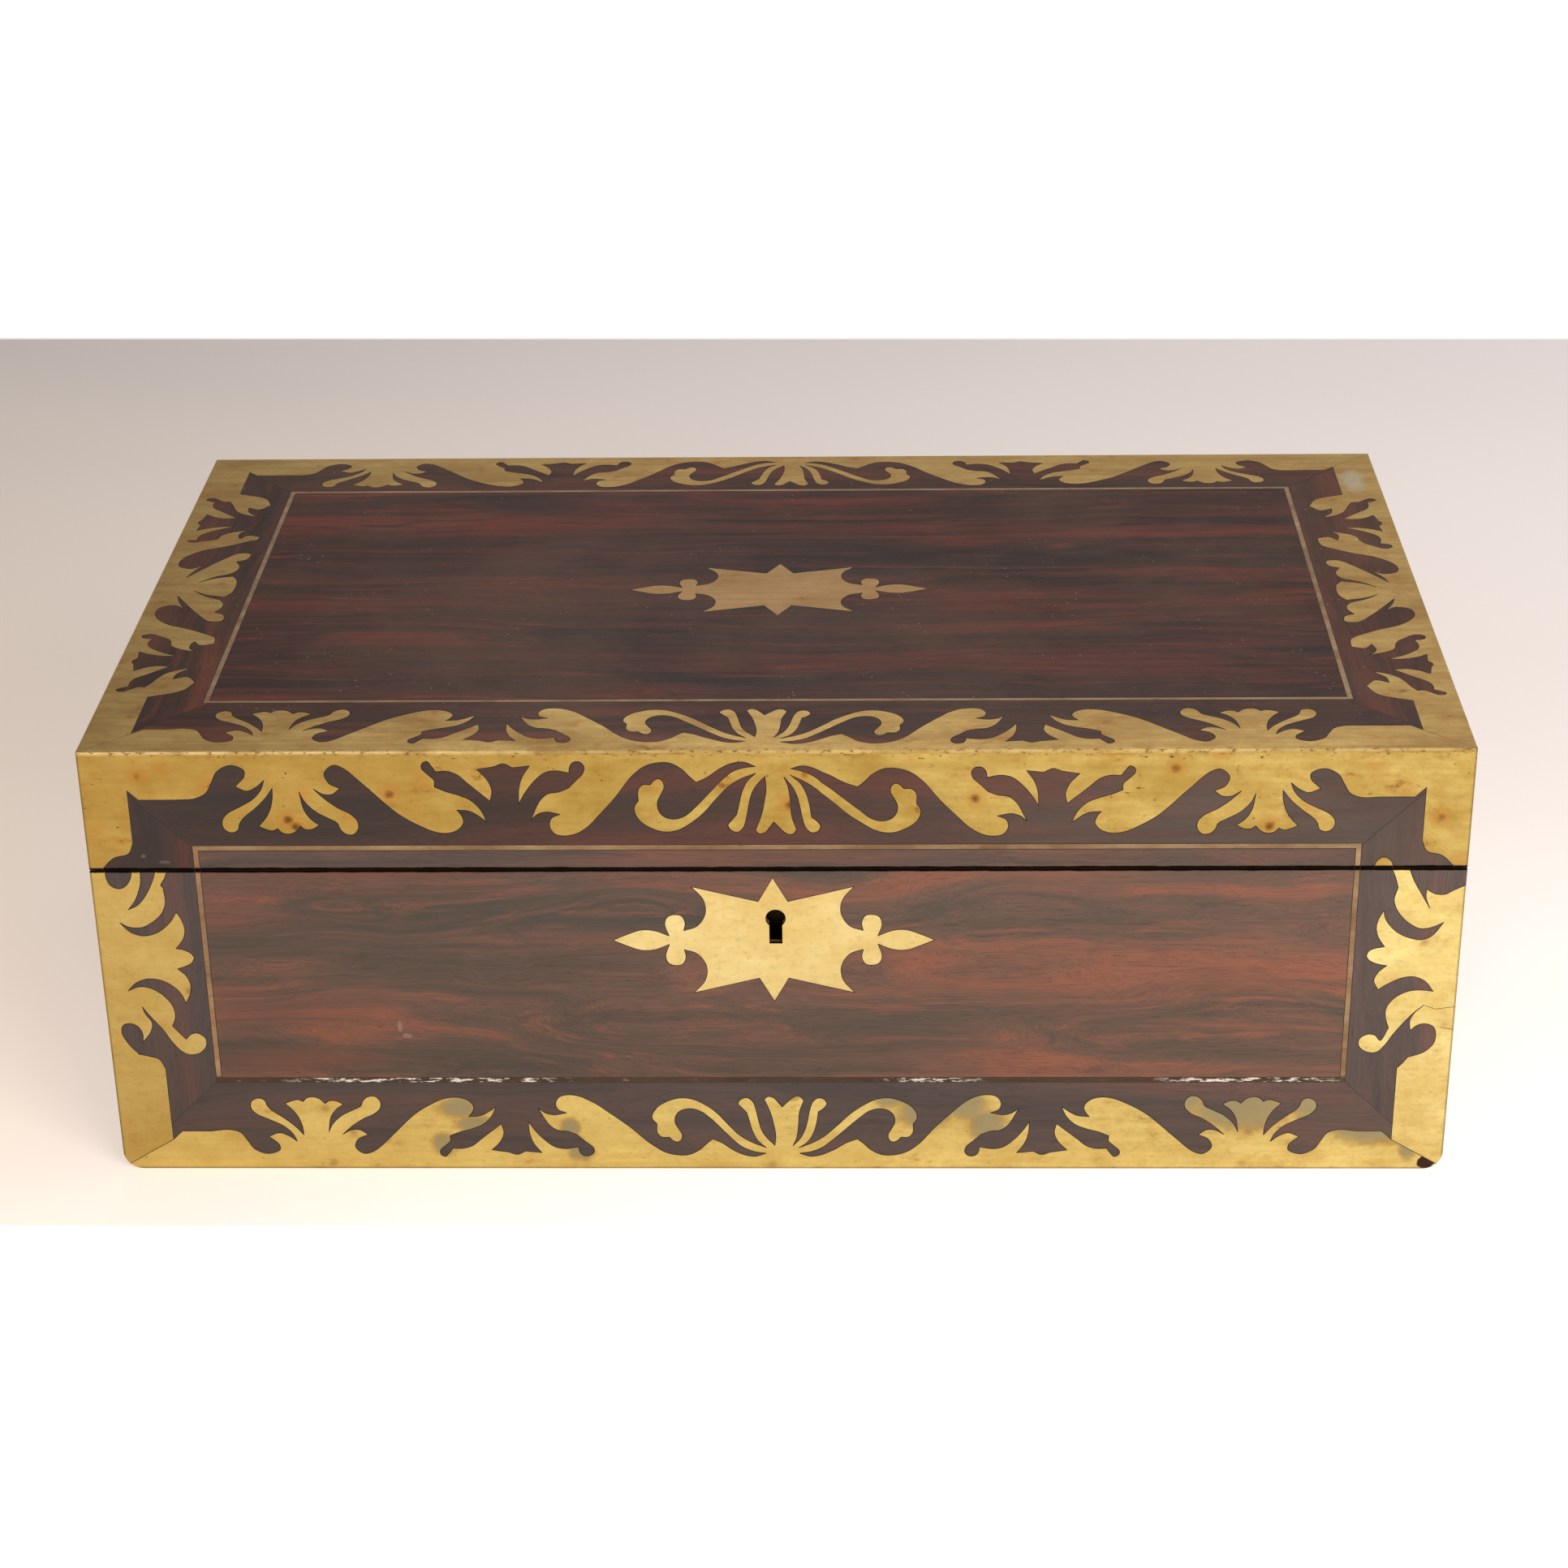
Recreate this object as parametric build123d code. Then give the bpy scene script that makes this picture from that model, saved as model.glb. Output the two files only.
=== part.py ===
from build123d import *
import math
import os

# A Regency writing slope: a rosewood-veneered box inlaid with brass, cut on the diagonal so that
# the open halves make one long slope. Millimetres, +Z up, the lock side faces -Y, and the origin
# is the middle of the underside.

# ---- case -----------------------------------------------------------------------------------
box_width = 405.0
box_depth = 236.0
box_height = 143.0
lid_front_height = 39.0  # height of the closed lid over the split, at the lock side
lid_back_height = 71.5  # and at the hinges
split_gap = 0.5  # between the rims of the closed halves
veneer = 1.2  # rosewood and brass are sawn to one thickness
board = 9.0
bottom_board = 6.0
top_board = 8.0
worn_corner_radius = 6.0  # lower corners of the case, in elevation

# ---- brass ornament -------------------------------------------------------------------------
front_tolerance = 0.6  # greatest distance between a drawn curve and its chords
top_tolerance = 1.2
drawn_half_width = 202.5  # the borders are drawn for a case of this size and stretched to fit
drawn_half_depth = 118.0
band_depth = 15.5  # depth of the plain brass beside the corner pieces
base_band_depth = 13.5
corner_chamfer = 3.0
string_width = 1.7
string_side_inset = 31.2  # outside of the stringing, from the edges of the case
string_bottom_inset = 31.0
string_lid_inset = 30.6  # on the front, below the top edge
string_front_inset = 33.6  # on the top
string_back_inset = 31.0
leg_depth_lid = 13.8  # width of the plain corner pieces
leg_depth_base = 16.0
# The long borders were sawn from one drawing and set out by eye. For the left and the right half of
# each: how far the middle, the scroll, the sprig and the palmette stand outwards from their places
# in the drawing, and the rise and the scale of the depth.
lid_border_left = (-0.3, 0.0, 0.0, 0.0, 0.0, 1.0)
lid_border_right = (0.3, 2.2, 2.7, 1.4, 2.3, 0.93)
base_border_left = (-1.0, -2.0, 2.5, 0.0, 1.4, 0.91)
base_border_right = (1.0, 1.5, 2.0, 1.5, 1.4, 0.91)
front_border_left = (3.0, 4.0, 4.5, 4.3, 2.4, 0.97)
front_border_right = (-3.0, -2.5, -3.3, -2.4, 1.0, 0.99)
back_border_left = (-0.5, 0.5, 0.8, 0.0, 0.7, 1.0)
back_border_right = (0.5, 1.5, 2.5, 2.0, 2.0, 0.95)
# Side borders: the middle and the flower, for the back and the front half of each.
left_border_back = (1.5, 4.5)
left_border_front = (-1.5, 1.5)
right_border_back = (0.0, 0.0)
right_border_front = (0.0, 0.0)
upright_drop = 29.4  # middle of the front uprights, below the split
side_centre_left = 2.5  # middle of each top side border, towards the back
side_centre_right = -3.0
side_sprig_centre = 56.4
side_sprig_scale = 0.93
side_border_end = 82.5  # where the side borders meet the corner pieces
name_plate_x = -1.0

# ---- lock -----------------------------------------------------------------------------------
keyhole_drop = 16.3  # middle of the round part, below the split
keyhole_radius = 3.0
keyhole_sides = 20
keyhole_slot_width = 3.9
keyhole_slot_length = 8.5
escutcheon_drop = 23.0
lock_half_length = 30.0
lock_height = 36.0
lock_thickness = 7.6
lock_wall = 0.9
selvedge_half_length = 36.0
selvedge_thickness = 1.8
staple_x = 14.0
staple_thickness = 2.4
staple_drop = 7.6
staple_width = 4.2
staple_end = 1.2  # brass below the staple's eye
staple_eye_width = 2.4
staple_eye_height = 2.8
staple_clearance = 0.4
bolt_throw = 4.0
bolt_bar_height = 3.0
bolt_bar_drop = 0.8  # bar below the ends of the staples
bolt_post = 2.4
bolt_tail = 4.0
bolt_nose_height = 1.8
bolt_nose_width = 1.6
bolt_nose_gap = 0.5  # nose from the staple, drawn back
bolt_clearance = 0.3

# ---- case hinges ----------------------------------------------------------------------------
hinge_x = 135.0
hinge_length = 48.0
hinge_sides = 12  # flats round a barrel
hinge_barrel_radius = 2.6
hinge_pin_radius = 1.3
hinge_leaf_thickness = 1.6
hinge_leaf_reach = 8.4
hinge_setback = 0.3  # the barrel's axis stands this far behind the back face
knuckle_gap = 0.25
bore_clearance = 0.05
notch_clearance = 0.3

# ---- writing flaps --------------------------------------------------------------------------
surface_recess = 0.5  # writing surface below the rim
leather_thickness = 1.2
panel_thickness = 5.0
flap_side_gap = 0.5
flap_end_gap = 0.4
rail_end = 20.3  # distance of the fold rail's edge from the back of the case
flap_hinge_gap = 1.6
flap_hinge_x = 120.0
flap_hinge_length = 24.0
small_sides = 8  # flats round the small barrels and pins
flap_barrel_radius = 1.1
flap_pin_radius = 0.6
flap_axis_depth = 1.25  # below the rim
flap_leaf_thickness = 0.7
flap_leaf_height = 5.0
ledge_width = 6.0
ledge_height = 6.0
ledge_gap = 0.2
front_rail_width = 14.0
catch_half_length = 8.5
catch_half_width = 3.5
catch_sides = 24  # flats of its rounded ends, if they went all round
catch_thickness = 1.0
catch_inset = 4.7  # pivot from the edge of the front rail
catch_pin_radius = 1.5
catch_pin_length = 4.0
catch_clearance = 0.1

# ---- pen section ----------------------------------------------------------------------------
pen_section_width = 48.8
partition = 5.0
well_length = 40.0
well_partition = 4.0
shelf_thickness = 4.0
partition_drop = 6.0  # pen section woodwork below the rim
bottle_width = 36.0
bottle_body_height = 32.0
bottle_chamfer = 4.0
bottle_sides = 24  # flats round necks and caps
bottle_neck_radius = 11.0
bottle_neck_height = 10.0
bottle_bore_radius = 8.5
bottle_floor = 5.0
cap_radius = 13.5
cap_crown = 2.5
cap_foot_gap = 1.0  # open edge of the cap over the bottle's shoulder
cap_clearance = 0.3
cap_drop = 11.5  # top of the caps below the rim
tray_thickness = 18.0
tray_drop = 12.0
tray_clearance = 0.4
trough_radius = 26.0
trough_depth = 12.0
trough_end = 5.0  # wood left at each end of the trough
bearer = 5.0

# ---- worked out -----------------------------------------------------------------------------
half_width = box_width / 2
half_depth = box_depth / 2
front_split = box_height - lid_front_height  # height of the base at the lock side
back_split = box_height - lid_back_height  # and at the hinges
board_x = half_width - veneer  # outside of the side boards
board_y = half_depth - veneer
inner_x = board_x - board
inner_y = board_y - board
top_inner_z = box_height - veneer - top_board
slope = math.atan2(front_split - back_split, box_depth)

# Pieces on the rim are placed by x, by u, the distance from the back up the slope, and by w, the
# height over the base rim.
rim_normal = (0, math.sin(slope), math.cos(slope))
rim = Plane(origin=(0, half_depth, back_split), x_dir=(1, 0, 0), z_dir=rim_normal)


def rim_u(y, w):
    """Distance up the slope of the place at depth y and height w over the rim."""
    return (half_depth + w * math.sin(slope) - y) / math.cos(slope)


def rim_z(y, w=0.0):
    """Height of the rim plane, raised by w, at depth y."""
    return back_split + (half_depth - y) * math.tan(slope) + w / math.cos(slope)


def slab(x0, x1, u0, u1, w0, w1):
    place = Pos((x0 + x1) / 2, -(u0 + u1) / 2, (w0 + w1) / 2)
    return rim * place * Box(x1 - x0, u1 - u0, w1 - w0)


def block(x0, x1, y0, y1, z0, z1):
    return Pos((x0 + x1) / 2, (y0 + y1) / 2, (z0 + z1) / 2) * Box(x1 - x0, y1 - y0, z1 - z0)


def bar(place, radius, length, sides, bore=False):
    """A round bar along z, with flats that stay inside the radius, or outside it for a bore."""
    return extrude(place * RegularPolygon(radius, sides, major_radius=not bore), amount=length)


def rod(x0, x1, u, w, radius, sides, bore=False):
    """A round bar along the width of the case."""
    return bar(rim * Pos(x0, -u, w) * Rot(0, 90, 0), radius, x1 - x0, sides, bore)


reach = 2 * (box_width + box_height)
above_rim = rim * Pos(0, 0, reach / 2) * Box(reach, reach, reach)
above_lid_rim = rim * Pos(0, 0, reach / 2 + split_gap) * Box(reach, reach, reach)


def base_part(solid):
    return solid - above_rim


def lid_part(solid):
    return solid & above_lid_rim


envelope = block(-half_width, half_width, -half_depth, half_depth, 0, box_height)
envelope = fillet(envelope.edges().filter_by(Axis.Y).group_by(Axis.Z)[0], worn_corner_radius)


# ---- drawing the ornament -------------------------------------------------------------------
def smooth_curve(points, steps=12):
    """Points along a smooth curve through the given ones."""
    first, second = points[0], points[1]
    last, before = points[-1], points[-2]
    chain = [(2 * first[0] - second[0], 2 * first[1] - second[1]), *points]
    chain.append((2 * last[0] - before[0], 2 * last[1] - before[1]))
    curve = [first]
    for p0, p1, p2, p3 in zip(chain, chain[1:], chain[2:], chain[3:]):
        t1 = math.sqrt(math.dist(p0, p1))
        t2 = t1 + math.sqrt(math.dist(p1, p2))
        t3 = t2 + math.sqrt(math.dist(p2, p3))
        for step in range(1, steps + 1):
            t = t1 + (t2 - t1) * step / steps
            a1 = between(p0, p1, t / t1)
            a2 = between(p1, p2, (t - t1) / (t2 - t1))
            a3 = between(p2, p3, (t - t2) / (t3 - t2))
            b1 = between(a1, a2, t / t2)
            b2 = between(a2, a3, (t - t1) / (t3 - t1))
            curve.append(between(b1, b2, (t - t1) / (t2 - t1)))
    return curve


def between(a, b, share):
    return (a[0] + (b[0] - a[0]) * share, a[1] + (b[1] - a[1]) * share)


def chords(curve, tolerance):
    """Points of the curve that keep its chords within the tolerance."""
    start, end = curve[0], curve[-1]
    length = math.dist(start, end)
    if len(curve) < 3:
        return curve

    def off(p):
        cross = (end[0] - start[0]) * (p[1] - start[1]) - (end[1] - start[1]) * (p[0] - start[0])
        return abs(cross) / length

    far = max(range(1, len(curve) - 1), key=lambda i: off(curve[i]))
    if off(curve[far]) <= tolerance:
        return [start, end]
    return chords(curve[: far + 1], tolerance)[:-1] + chords(curve[far:], tolerance)


def outline(runs, tolerance):
    """One line from runs that are smooth inside and meet at sharp corners."""
    points = [runs[0][0]]
    for run in runs:
        points += run[1:] if len(run) == 2 else chords(smooth_curve(run), tolerance)[1:]
    return points


# Every run below is a list of (distance along the edge, depth from the edge). Brass lies between
# the edge and the line.
centre_tulip = [
    [(5, 6.7), (9.2, 13), (11.2, 22.2)],
    [(11.2, 22.2), (13.3, 24.4), (10.8, 26.2), (8.4, 23.4), (6.4, 12.4), (2.2, 7.2)],
    [(2.2, 7.2), (2.6, 13.4), (3.9, 19), (5.4, 26)],
    [(5.4, 26), (2.4, 25.9), (0, 22.2)],
]
scroll = [
    [(23, 11.6), (15.4, 5.9), (9.6, 3.4), (5, 4.4)],
    [(5, 4.4), (11.6, 6.6), (19, 14), (25.4, 20.8), (31, 22.3), (34.3, 18), (31.8, 11.6), (33.2, 8.4),
     (36, 10.5)],
    [(36, 10.5), (39.4, 11.8), (39.6, 15.6)],
    [(39.6, 15.6), (40.7, 19), (37.4, 24.3), (30.5, 26.3), (22.6, 22.2), (12.6, 11), (5, 6.7)],
]
sprig_centre = 78.2
sprig = [
    [(95, 26.2), (90.8, 23), (92.5, 19)],
    [(92.5, 19), (88.4, 19.7), (84, 22.8)],
    [(84, 22.8), (87.6, 16.4), (98.6, 11.4)],
    [(98.6, 11.4), (98.4, 9.2), (102.3, 5.2), (100.8, 3), (98, 6.5)],
    [(98, 6.5), (93.6, 6), (88, 10.5), (82.6, 16.3)],
    [(82.6, 16.3), (82, 11.4), (86, 5.8)],
    [(86, 5.8), (80.8, 5)],
    [(80.8, 5), (78.2, 3.9), (75.8, 5.4)],
    [(75.8, 5.4), (70.5, 4.7)],
    [(70.5, 4.7), (73.7, 10.6), (74.2, 17)],
    [(74.2, 17), (71.5, 12), (64.8, 6.2), (59.2, 7)],
    [(59.2, 7), (58.1, 3.7), (55, 3.6), (55.3, 7.5), (57.8, 9.6)],
    [(57.8, 9.6), (61.5, 12.7), (67, 14.6), (71, 22.3)],
    [(71, 22.3), (67.4, 19.6), (61.9, 20.4)],
    [(61.9, 20.4), (65.6, 23), (64.4, 27)],
]
sprig_to_scroll = [[(64.4, 27), (57.5, 26.7), (51, 20.8), (41, 7.6), (35, 4), (28.6, 4.4), (23, 11.6)]]
palmette = [
    [(174.5, 15.4), (168.2, 14.6), (164.4, 11.4), (162.3, 6.6), (157.2, 3.7), (153.5, 6.3), (156.8, 11)],
    [(156.8, 11), (153, 12), (148.2, 9)],
    [(148.2, 9), (150.6, 14.2), (155, 17.7), (159.8, 20.1), (161.7, 23.2), (159.3, 26.1), (156.6, 24),
     (149.7, 17), (146, 12)],
    [(146, 12), (147.7, 19.7), (151.3, 24.3)],
    [(151.3, 24.3), (142.9, 26), (138.7, 24.4)],
    [(138.7, 24.4), (136.3, 25.2), (133.3, 24)],
    [(133.3, 24), (137, 19.2), (138.4, 13)],
    [(138.4, 13), (134.4, 19), (127, 24.8), (124.3, 27), (121.6, 24), (128, 18.2), (134, 12.1)],
    [(134, 12.1), (130.2, 13.4), (126.3, 11.8)],
    [(126.3, 11.8), (130, 9.8), (130.4, 5.2), (127.2, 3.8), (119, 11), (109.7, 20.3), (103, 24.4),
     (95, 26.2)],
]
flower = [
    [(0, 28.4), (3.2, 26.6), (4.5, 22.7)],
    [(4.5, 22.7), (9.5, 26.6), (15.2, 24.1)],
    [(15.2, 24.1), (9.4, 21.4), (6.1, 15.2), (8.7, 9.1), (12, 7.2)],
    [(12, 7.2), (10, 12.4), (13, 18.4), (17.3, 20.9), (23.4, 19.1)],
]
flower_ball = [
    [(23.4, 19.1), (28.4, 23.1)],
    [(28.4, 23.1), (25.9, 26.2), (28.6, 29.3), (33, 27.8), (33.6, 22.3), (27, 17.6), (16.6, 10.2)],
]
flower_stem = [
    [(23.4, 19.1), (31, 23.4)],
    [(31, 23.4), (31, 19.4)],
    [(31, 19.4), (25.2, 17), (16.6, 10.2)],
]
flower_hook = [
    [(16.6, 10.2), (23.7, 13.9), (29.5, 9.9)],
    [(29.5, 9.9), (24.4, 10), (22.7, 6.6), (26.6, 3.8), (33.7, 8.1)],
]
flower_foot = [[(33.7, 8.1), (35.4, 13.8), (38.7, leg_depth_base)]]
corner_foot = [[(29.5, 3.4), (33.7, 7.6), (35.2, 12.2), (38.7, leg_depth_lid)]]
side_flower = [
    [(0, 26.2), (4.4, 25.6), (7.5, 23.8)],
    [(7.5, 23.8), (6, 18), (3, 13.2)],
    [(3, 13.2), (6.8, 17.4), (10.4, 23.4), (14.4, 24.6), (18.6, 22.8)],
    [(18.6, 22.8), (20.4, 26), (24.2, 26.4), (24.8, 22.6), (19, 17.2), (6.5, 8.6)],
    [(6.5, 8.6), (11, 10), (15.6, 12.4)],
    [(15.6, 12.4), (13.4, 9), (15, 4.8), (20.4, 4.4), (27, 9.6), (30.8, 17), (35.4, 24.2)],
]
ball = [[(21.5, -1), (21.9, 2.6), (24.7, 4), (27.3, 2.2), (27.9, -1)]]


def turned(runs):
    """The same line, drawn from its other end."""
    return [run[::-1] for run in runs[::-1]]


def stretched(runs, scale, start=0.0, place=0.0):
    """The same line, scaled along the edge from one point and set down at another."""
    return [[(place + (a - start) * scale, depth) for a, depth in run] for run in runs]


def spread(points):
    """A line drawn right of the centre line up to it, with its mirror image first."""
    return [(-a, b) for a, b in points] + points[::-1][1:]


def along(knots, a):
    """Values at the place a, in a straight line between the knots on its two sides."""
    for (a0, first), (a1, second) in zip(knots, knots[1:]):
        if a <= a1:
            break
    share = (a - a0) / (a1 - a0)
    return [v0 + (v1 - v0) * share for v0, v1 in zip(first, second)]


# Ends of the motifs in the drawing, where one half's set-out passes from one to the next.
tulip_end = 12.0
scroll_ends = (23.0, 40.0)
sprig_ends = (56.0, 101.0)
palmette_ends = (122.0, 163.0)
border_end, end_depth = palmette[0][0]


def half_knots(fit, band):
    """Shift, rise and scale along one half of a long border."""
    middle, scroll_shift, sprig_shift, palmette_shift, rise, scale = fit
    knots = [(tulip_end, (middle, rise, scale))]
    knots += [(a, (scroll_shift, rise, scale)) for a in scroll_ends]
    knots += [(a, (sprig_shift, rise, scale)) for a in sprig_ends]
    knots += [(a, (palmette_shift, rise, scale)) for a in palmette_ends]
    return knots + [(border_end, (palmette_shift, band - scale * end_depth, scale))]


def long_border(leg_depth, band, left_fit, right_fit, tolerance):
    """Depth of a long border's brass, from its left corner piece to its right one."""
    left_knots = [(-a, (-shift, *depth)) for a, (shift, *depth) in half_knots(left_fit, band)[::-1]]
    knots = left_knots + half_knots(right_fit, band)
    line = []
    for a, d in spread(outline(palmette + sprig + sprig_to_scroll + scroll + centre_tulip, tolerance)):
        shift, rise, scale = along(knots, a)
        line.append(((a + shift) * half_width / drawn_half_width, rise + scale * d))
    leg_x = half_width - leg_depth
    notch = [(leg_x, band - corner_chamfer), (leg_x - corner_chamfer, band)]
    return [(-a, d) for a, d in notch] + line + notch[::-1]


flower_end = 24.8
flower_tip = 35.4
side_sprig_start = 42.0


def side_border_half(fit, tolerance):
    """Depth of one half of a top side border's brass, from the middle to the corner piece."""
    middle, flower_shift = fit
    sprig_runs = stretched(turned(sprig), side_sprig_scale, sprig_centre, side_sprig_centre)
    join = [[side_flower[-1][-1], (38, 26.4), sprig_runs[0][0]]]
    foot = [[sprig_runs[-1][-1], (78, 23.4), (side_border_end, leg_depth_lid)]]
    drawn = outline(side_flower + join + sprig_runs + foot, tolerance)
    knots = [(0, (middle,)), (flower_end, (flower_shift,)), (flower_tip, (flower_shift,))]
    knots += [(side_sprig_start, (0,)), (side_border_end, (0,))]
    scale = half_depth / drawn_half_depth
    return [((a + along(knots, a)[0]) * scale, d) for a, d in drawn]


def closed_line(plane, points):
    return Wire.make_polygon([plane.from_local_coords((a, b, 0)) for a, b in points], close=True)


def plate(plane, outer, *holes):
    """A sawn sheet whose outer face lies on the plane."""
    face = Face(closed_line(plane, outer), [closed_line(plane, hole) for hole in holes])
    return extrude(face, amount=-veneer, dir=plane.z_dir)


front = Plane(origin=(0, -half_depth, 0), x_dir=(1, 0, 0), z_dir=(0, -1, 0))
top = Plane(origin=(0, 0, box_height), x_dir=(1, 0, 0), z_dir=(0, 0, 1))
plate_top = box_height - veneer  # upper edge of the sheets on the four sides
over_split = front_split + board  # sheets are drawn past the split and sawn off there
under_split = front_split + ball[0][0][1]
upright_centre = front_split - upright_drop
escutcheon_z = front_split - escutcheon_drop
keyhole_z = front_split - keyhole_drop

# ---- outlines on the front ------------------------------------------------------------------
lid_depths = long_border(leg_depth_lid, band_depth, lid_border_left, lid_border_right, front_tolerance)
lid_line = [(x, box_height - d) for x, d in lid_depths]
base_line = long_border(
    leg_depth_base, base_band_depth, base_border_left, base_border_right, front_tolerance
)
lid_foot = [(half_width - d, upright_centre + v) for v, d in outline(corner_foot, front_tolerance)]
upright_up = outline(flower + flower_stem + flower_hook, front_tolerance)
upright_down = outline(flower + flower_ball + flower_hook + flower_foot, front_tolerance)
upright_line = [(half_width - d, upright_centre + v) for v, d in upright_up[::-1]]
upright_line += [(half_width - d, upright_centre - v) for v, d in upright_down[1:]]
lid_ball = [(half_width - d, front_split + v) for d, v in outline(ball, front_tolerance)]


def string_path(edge_z, inset, open_z):
    """Three sides of the stringing's rectangle; the fourth is past the split, at open_z."""
    x = half_width - string_side_inset - inset
    return [(-x, open_z), (-x, edge_z), (x, edge_z), (x, open_z)]


string_top_z = box_height - string_lid_inset
lid_string_outer = string_path(string_top_z, 0, under_split)
lid_string_inner = string_path(string_top_z - string_width, string_width, under_split)
base_string_outer = string_path(string_bottom_inset, 0, over_split)
base_string_inner = string_path(string_bottom_inset + string_width, string_width, over_split)

# ---- plate of the keyhole and of the name: one quarter, from the top point to the side point --
quarter = outline([
    [(0, 21), (4.4, 13)],
    [(4.4, 13), (24, 18)],
    [(24, 18), (20.6, 13.6), (20.1, 9), (22.6, 4.8), (26.6, 3.2)],
    [(26.6, 3.2), (26.4, 7.4), (29.4, 8.8), (32.4, 6.6), (31, 1.4)],
    [(31, 1.4), (38.5, 3.6), (47.8, 0)],
], front_tolerance)
right_side = quarter + [(a, -b) for a, b in quarter[::-1]][1:]
plate_shape = right_side + [(-a, b) for a, b in right_side[::-1]][1:-1]


def plate_outline(x, y):
    return [(x + a, y + b) for a, b in plate_shape]


def left(points):
    """The mirror image on the left side."""
    return [(-a, b) for a, b in points]


# ---- outlines on the top --------------------------------------------------------------------
front_depths = long_border(leg_depth_lid, band_depth, front_border_left, front_border_right, top_tolerance)
top_front_line = [(x, d - half_depth) for x, d in front_depths]
back_depths = long_border(leg_depth_lid, band_depth, back_border_left, back_border_right, top_tolerance)
top_back_line = [(x, half_depth - d) for x, d in back_depths]


def top_side_line(centre, back_fit, front_fit):
    """Inner edge of a top side border, right side, from the back notch to the front one."""
    back_half = side_border_half(back_fit, top_tolerance)
    front_half = side_border_half(front_fit, top_tolerance)
    line = [(half_width - d, centre + v) for v, d in back_half[::-1]]
    line += [(half_width - d, centre - v) for v, d in front_half[1:]]
    notch_y = half_depth - band_depth + corner_chamfer
    notch_x = half_width - leg_depth_lid
    return [(notch_x, notch_y)] + line + [(notch_x, -notch_y)]


top_right_line = top_side_line(side_centre_right, right_border_back, right_border_front)
top_left_line = left(top_side_line(side_centre_left, left_border_back, left_border_front))

pieces = {}

# ---- carcass: base --------------------------------------------------------------------------


def base_wall(x0, x1, y0, y1):
    return base_part(block(x0, x1, y0, y1, 0, box_height)) & envelope


pieces["base_front_board"] = base_wall(-board_x, board_x, -board_y, -inner_y)
pieces["base_back_board"] = base_wall(-board_x, board_x, inner_y, board_y)
pieces["base_left_board"] = base_wall(-board_x, -inner_x, -inner_y, inner_y)
pieces["base_right_board"] = mirror(pieces["base_left_board"], Plane.YZ)
pieces["base_bottom_board"] = block(-inner_x, inner_x, -inner_y, inner_y, 0, bottom_board)
pieces["base_left_veneer"] = base_wall(-half_width, -board_x, -board_y, board_y)
pieces["base_right_veneer"] = mirror(pieces["base_left_veneer"], Plane.YZ)
pieces["base_back_veneer"] = base_wall(-half_width, half_width, board_y, half_depth)

# ---- carcass: lid ---------------------------------------------------------------------------
def lid_wall(x0, x1, y0, y1, z1):
    return lid_part(block(x0, x1, y0, y1, 0, z1))


pieces["lid_front_board"] = lid_wall(-board_x, board_x, -board_y, -inner_y, top_inner_z)
pieces["lid_back_board"] = lid_wall(-board_x, board_x, inner_y, board_y, top_inner_z)
pieces["lid_left_board"] = lid_wall(-board_x, -inner_x, -inner_y, inner_y, top_inner_z)
pieces["lid_right_board"] = mirror(pieces["lid_left_board"], Plane.YZ)
pieces["lid_top_board"] = block(-board_x, board_x, -board_y, board_y, top_inner_z, plate_top)
pieces["lid_left_veneer"] = lid_wall(-half_width, -board_x, -board_y, board_y, plate_top)
pieces["lid_right_veneer"] = mirror(pieces["lid_left_veneer"], Plane.YZ)
pieces["lid_back_veneer"] = lid_wall(-half_width, half_width, board_y, half_depth, plate_top)


# ---- marquetry: front of the lid ------------------------------------------------------------
lid_corners = [(half_width, plate_top), (-half_width, plate_top)]
pieces["lid_front_border"] = plate(front, lid_line + lid_corners)
foot_end = [(half_width, lid_foot[0][1])]
corner_piece = [lid_line[-1]] + lid_foot[::-1] + foot_end + [(half_width, plate_top)]
pieces["lid_front_corner_right"] = lid_part(plate(front, corner_piece) + plate(front, lid_ball))
pieces["lid_front_corner_left"] = lid_part(plate(front, left(corner_piece)))
lid_band = lid_line + lid_foot[::-1] + lid_ball + lid_string_outer[::-1] + left(lid_foot)
lid_field = plate(front, lid_string_inner)
pieces["lid_front_veneer"] = lid_part(plate(front, lid_band)) + lid_part(lid_field)
pieces["lid_front_stringing"] = lid_part(plate(front, lid_string_outer + lid_string_inner[::-1]))

# ---- marquetry: front of the base -----------------------------------------------------------
base_ground = [(half_width, 0), (-half_width, 0)]
pieces["base_front_border"] = plate(front, base_line + base_ground) & envelope
upright_end = [(half_width, 0), (half_width, upright_line[0][1])]
upright = upright_line + [base_line[-1]] + upright_end
pieces["base_front_upright_right"] = base_part(plate(front, upright)) & envelope
pieces["base_front_upright_left"] = base_part(plate(front, left(upright))) & envelope
base_band = left(upright_line) + base_line + upright_line[::-1] + base_string_outer[::-1]
base_field = plate(front, base_string_inner, plate_outline(0, escutcheon_z))
pieces["base_front_veneer"] = base_part(plate(front, base_band)) + base_part(base_field)
pieces["base_front_stringing"] = base_part(plate(front, base_string_outer + base_string_inner[::-1]))

# ---- marquetry: top -------------------------------------------------------------------------
front_corners = [(half_width, -half_depth), (-half_width, -half_depth)]
side_corners = [(half_width, -half_depth), (half_width, half_depth)]
pieces["top_border_front"] = plate(top, top_front_line + front_corners)
pieces["top_border_back"] = plate(top, top_back_line + [(a, -b) for a, b in front_corners])
pieces["top_border_right"] = plate(top, top_right_line + side_corners)
pieces["top_border_left"] = plate(top, top_left_line + left(side_corners))


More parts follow.
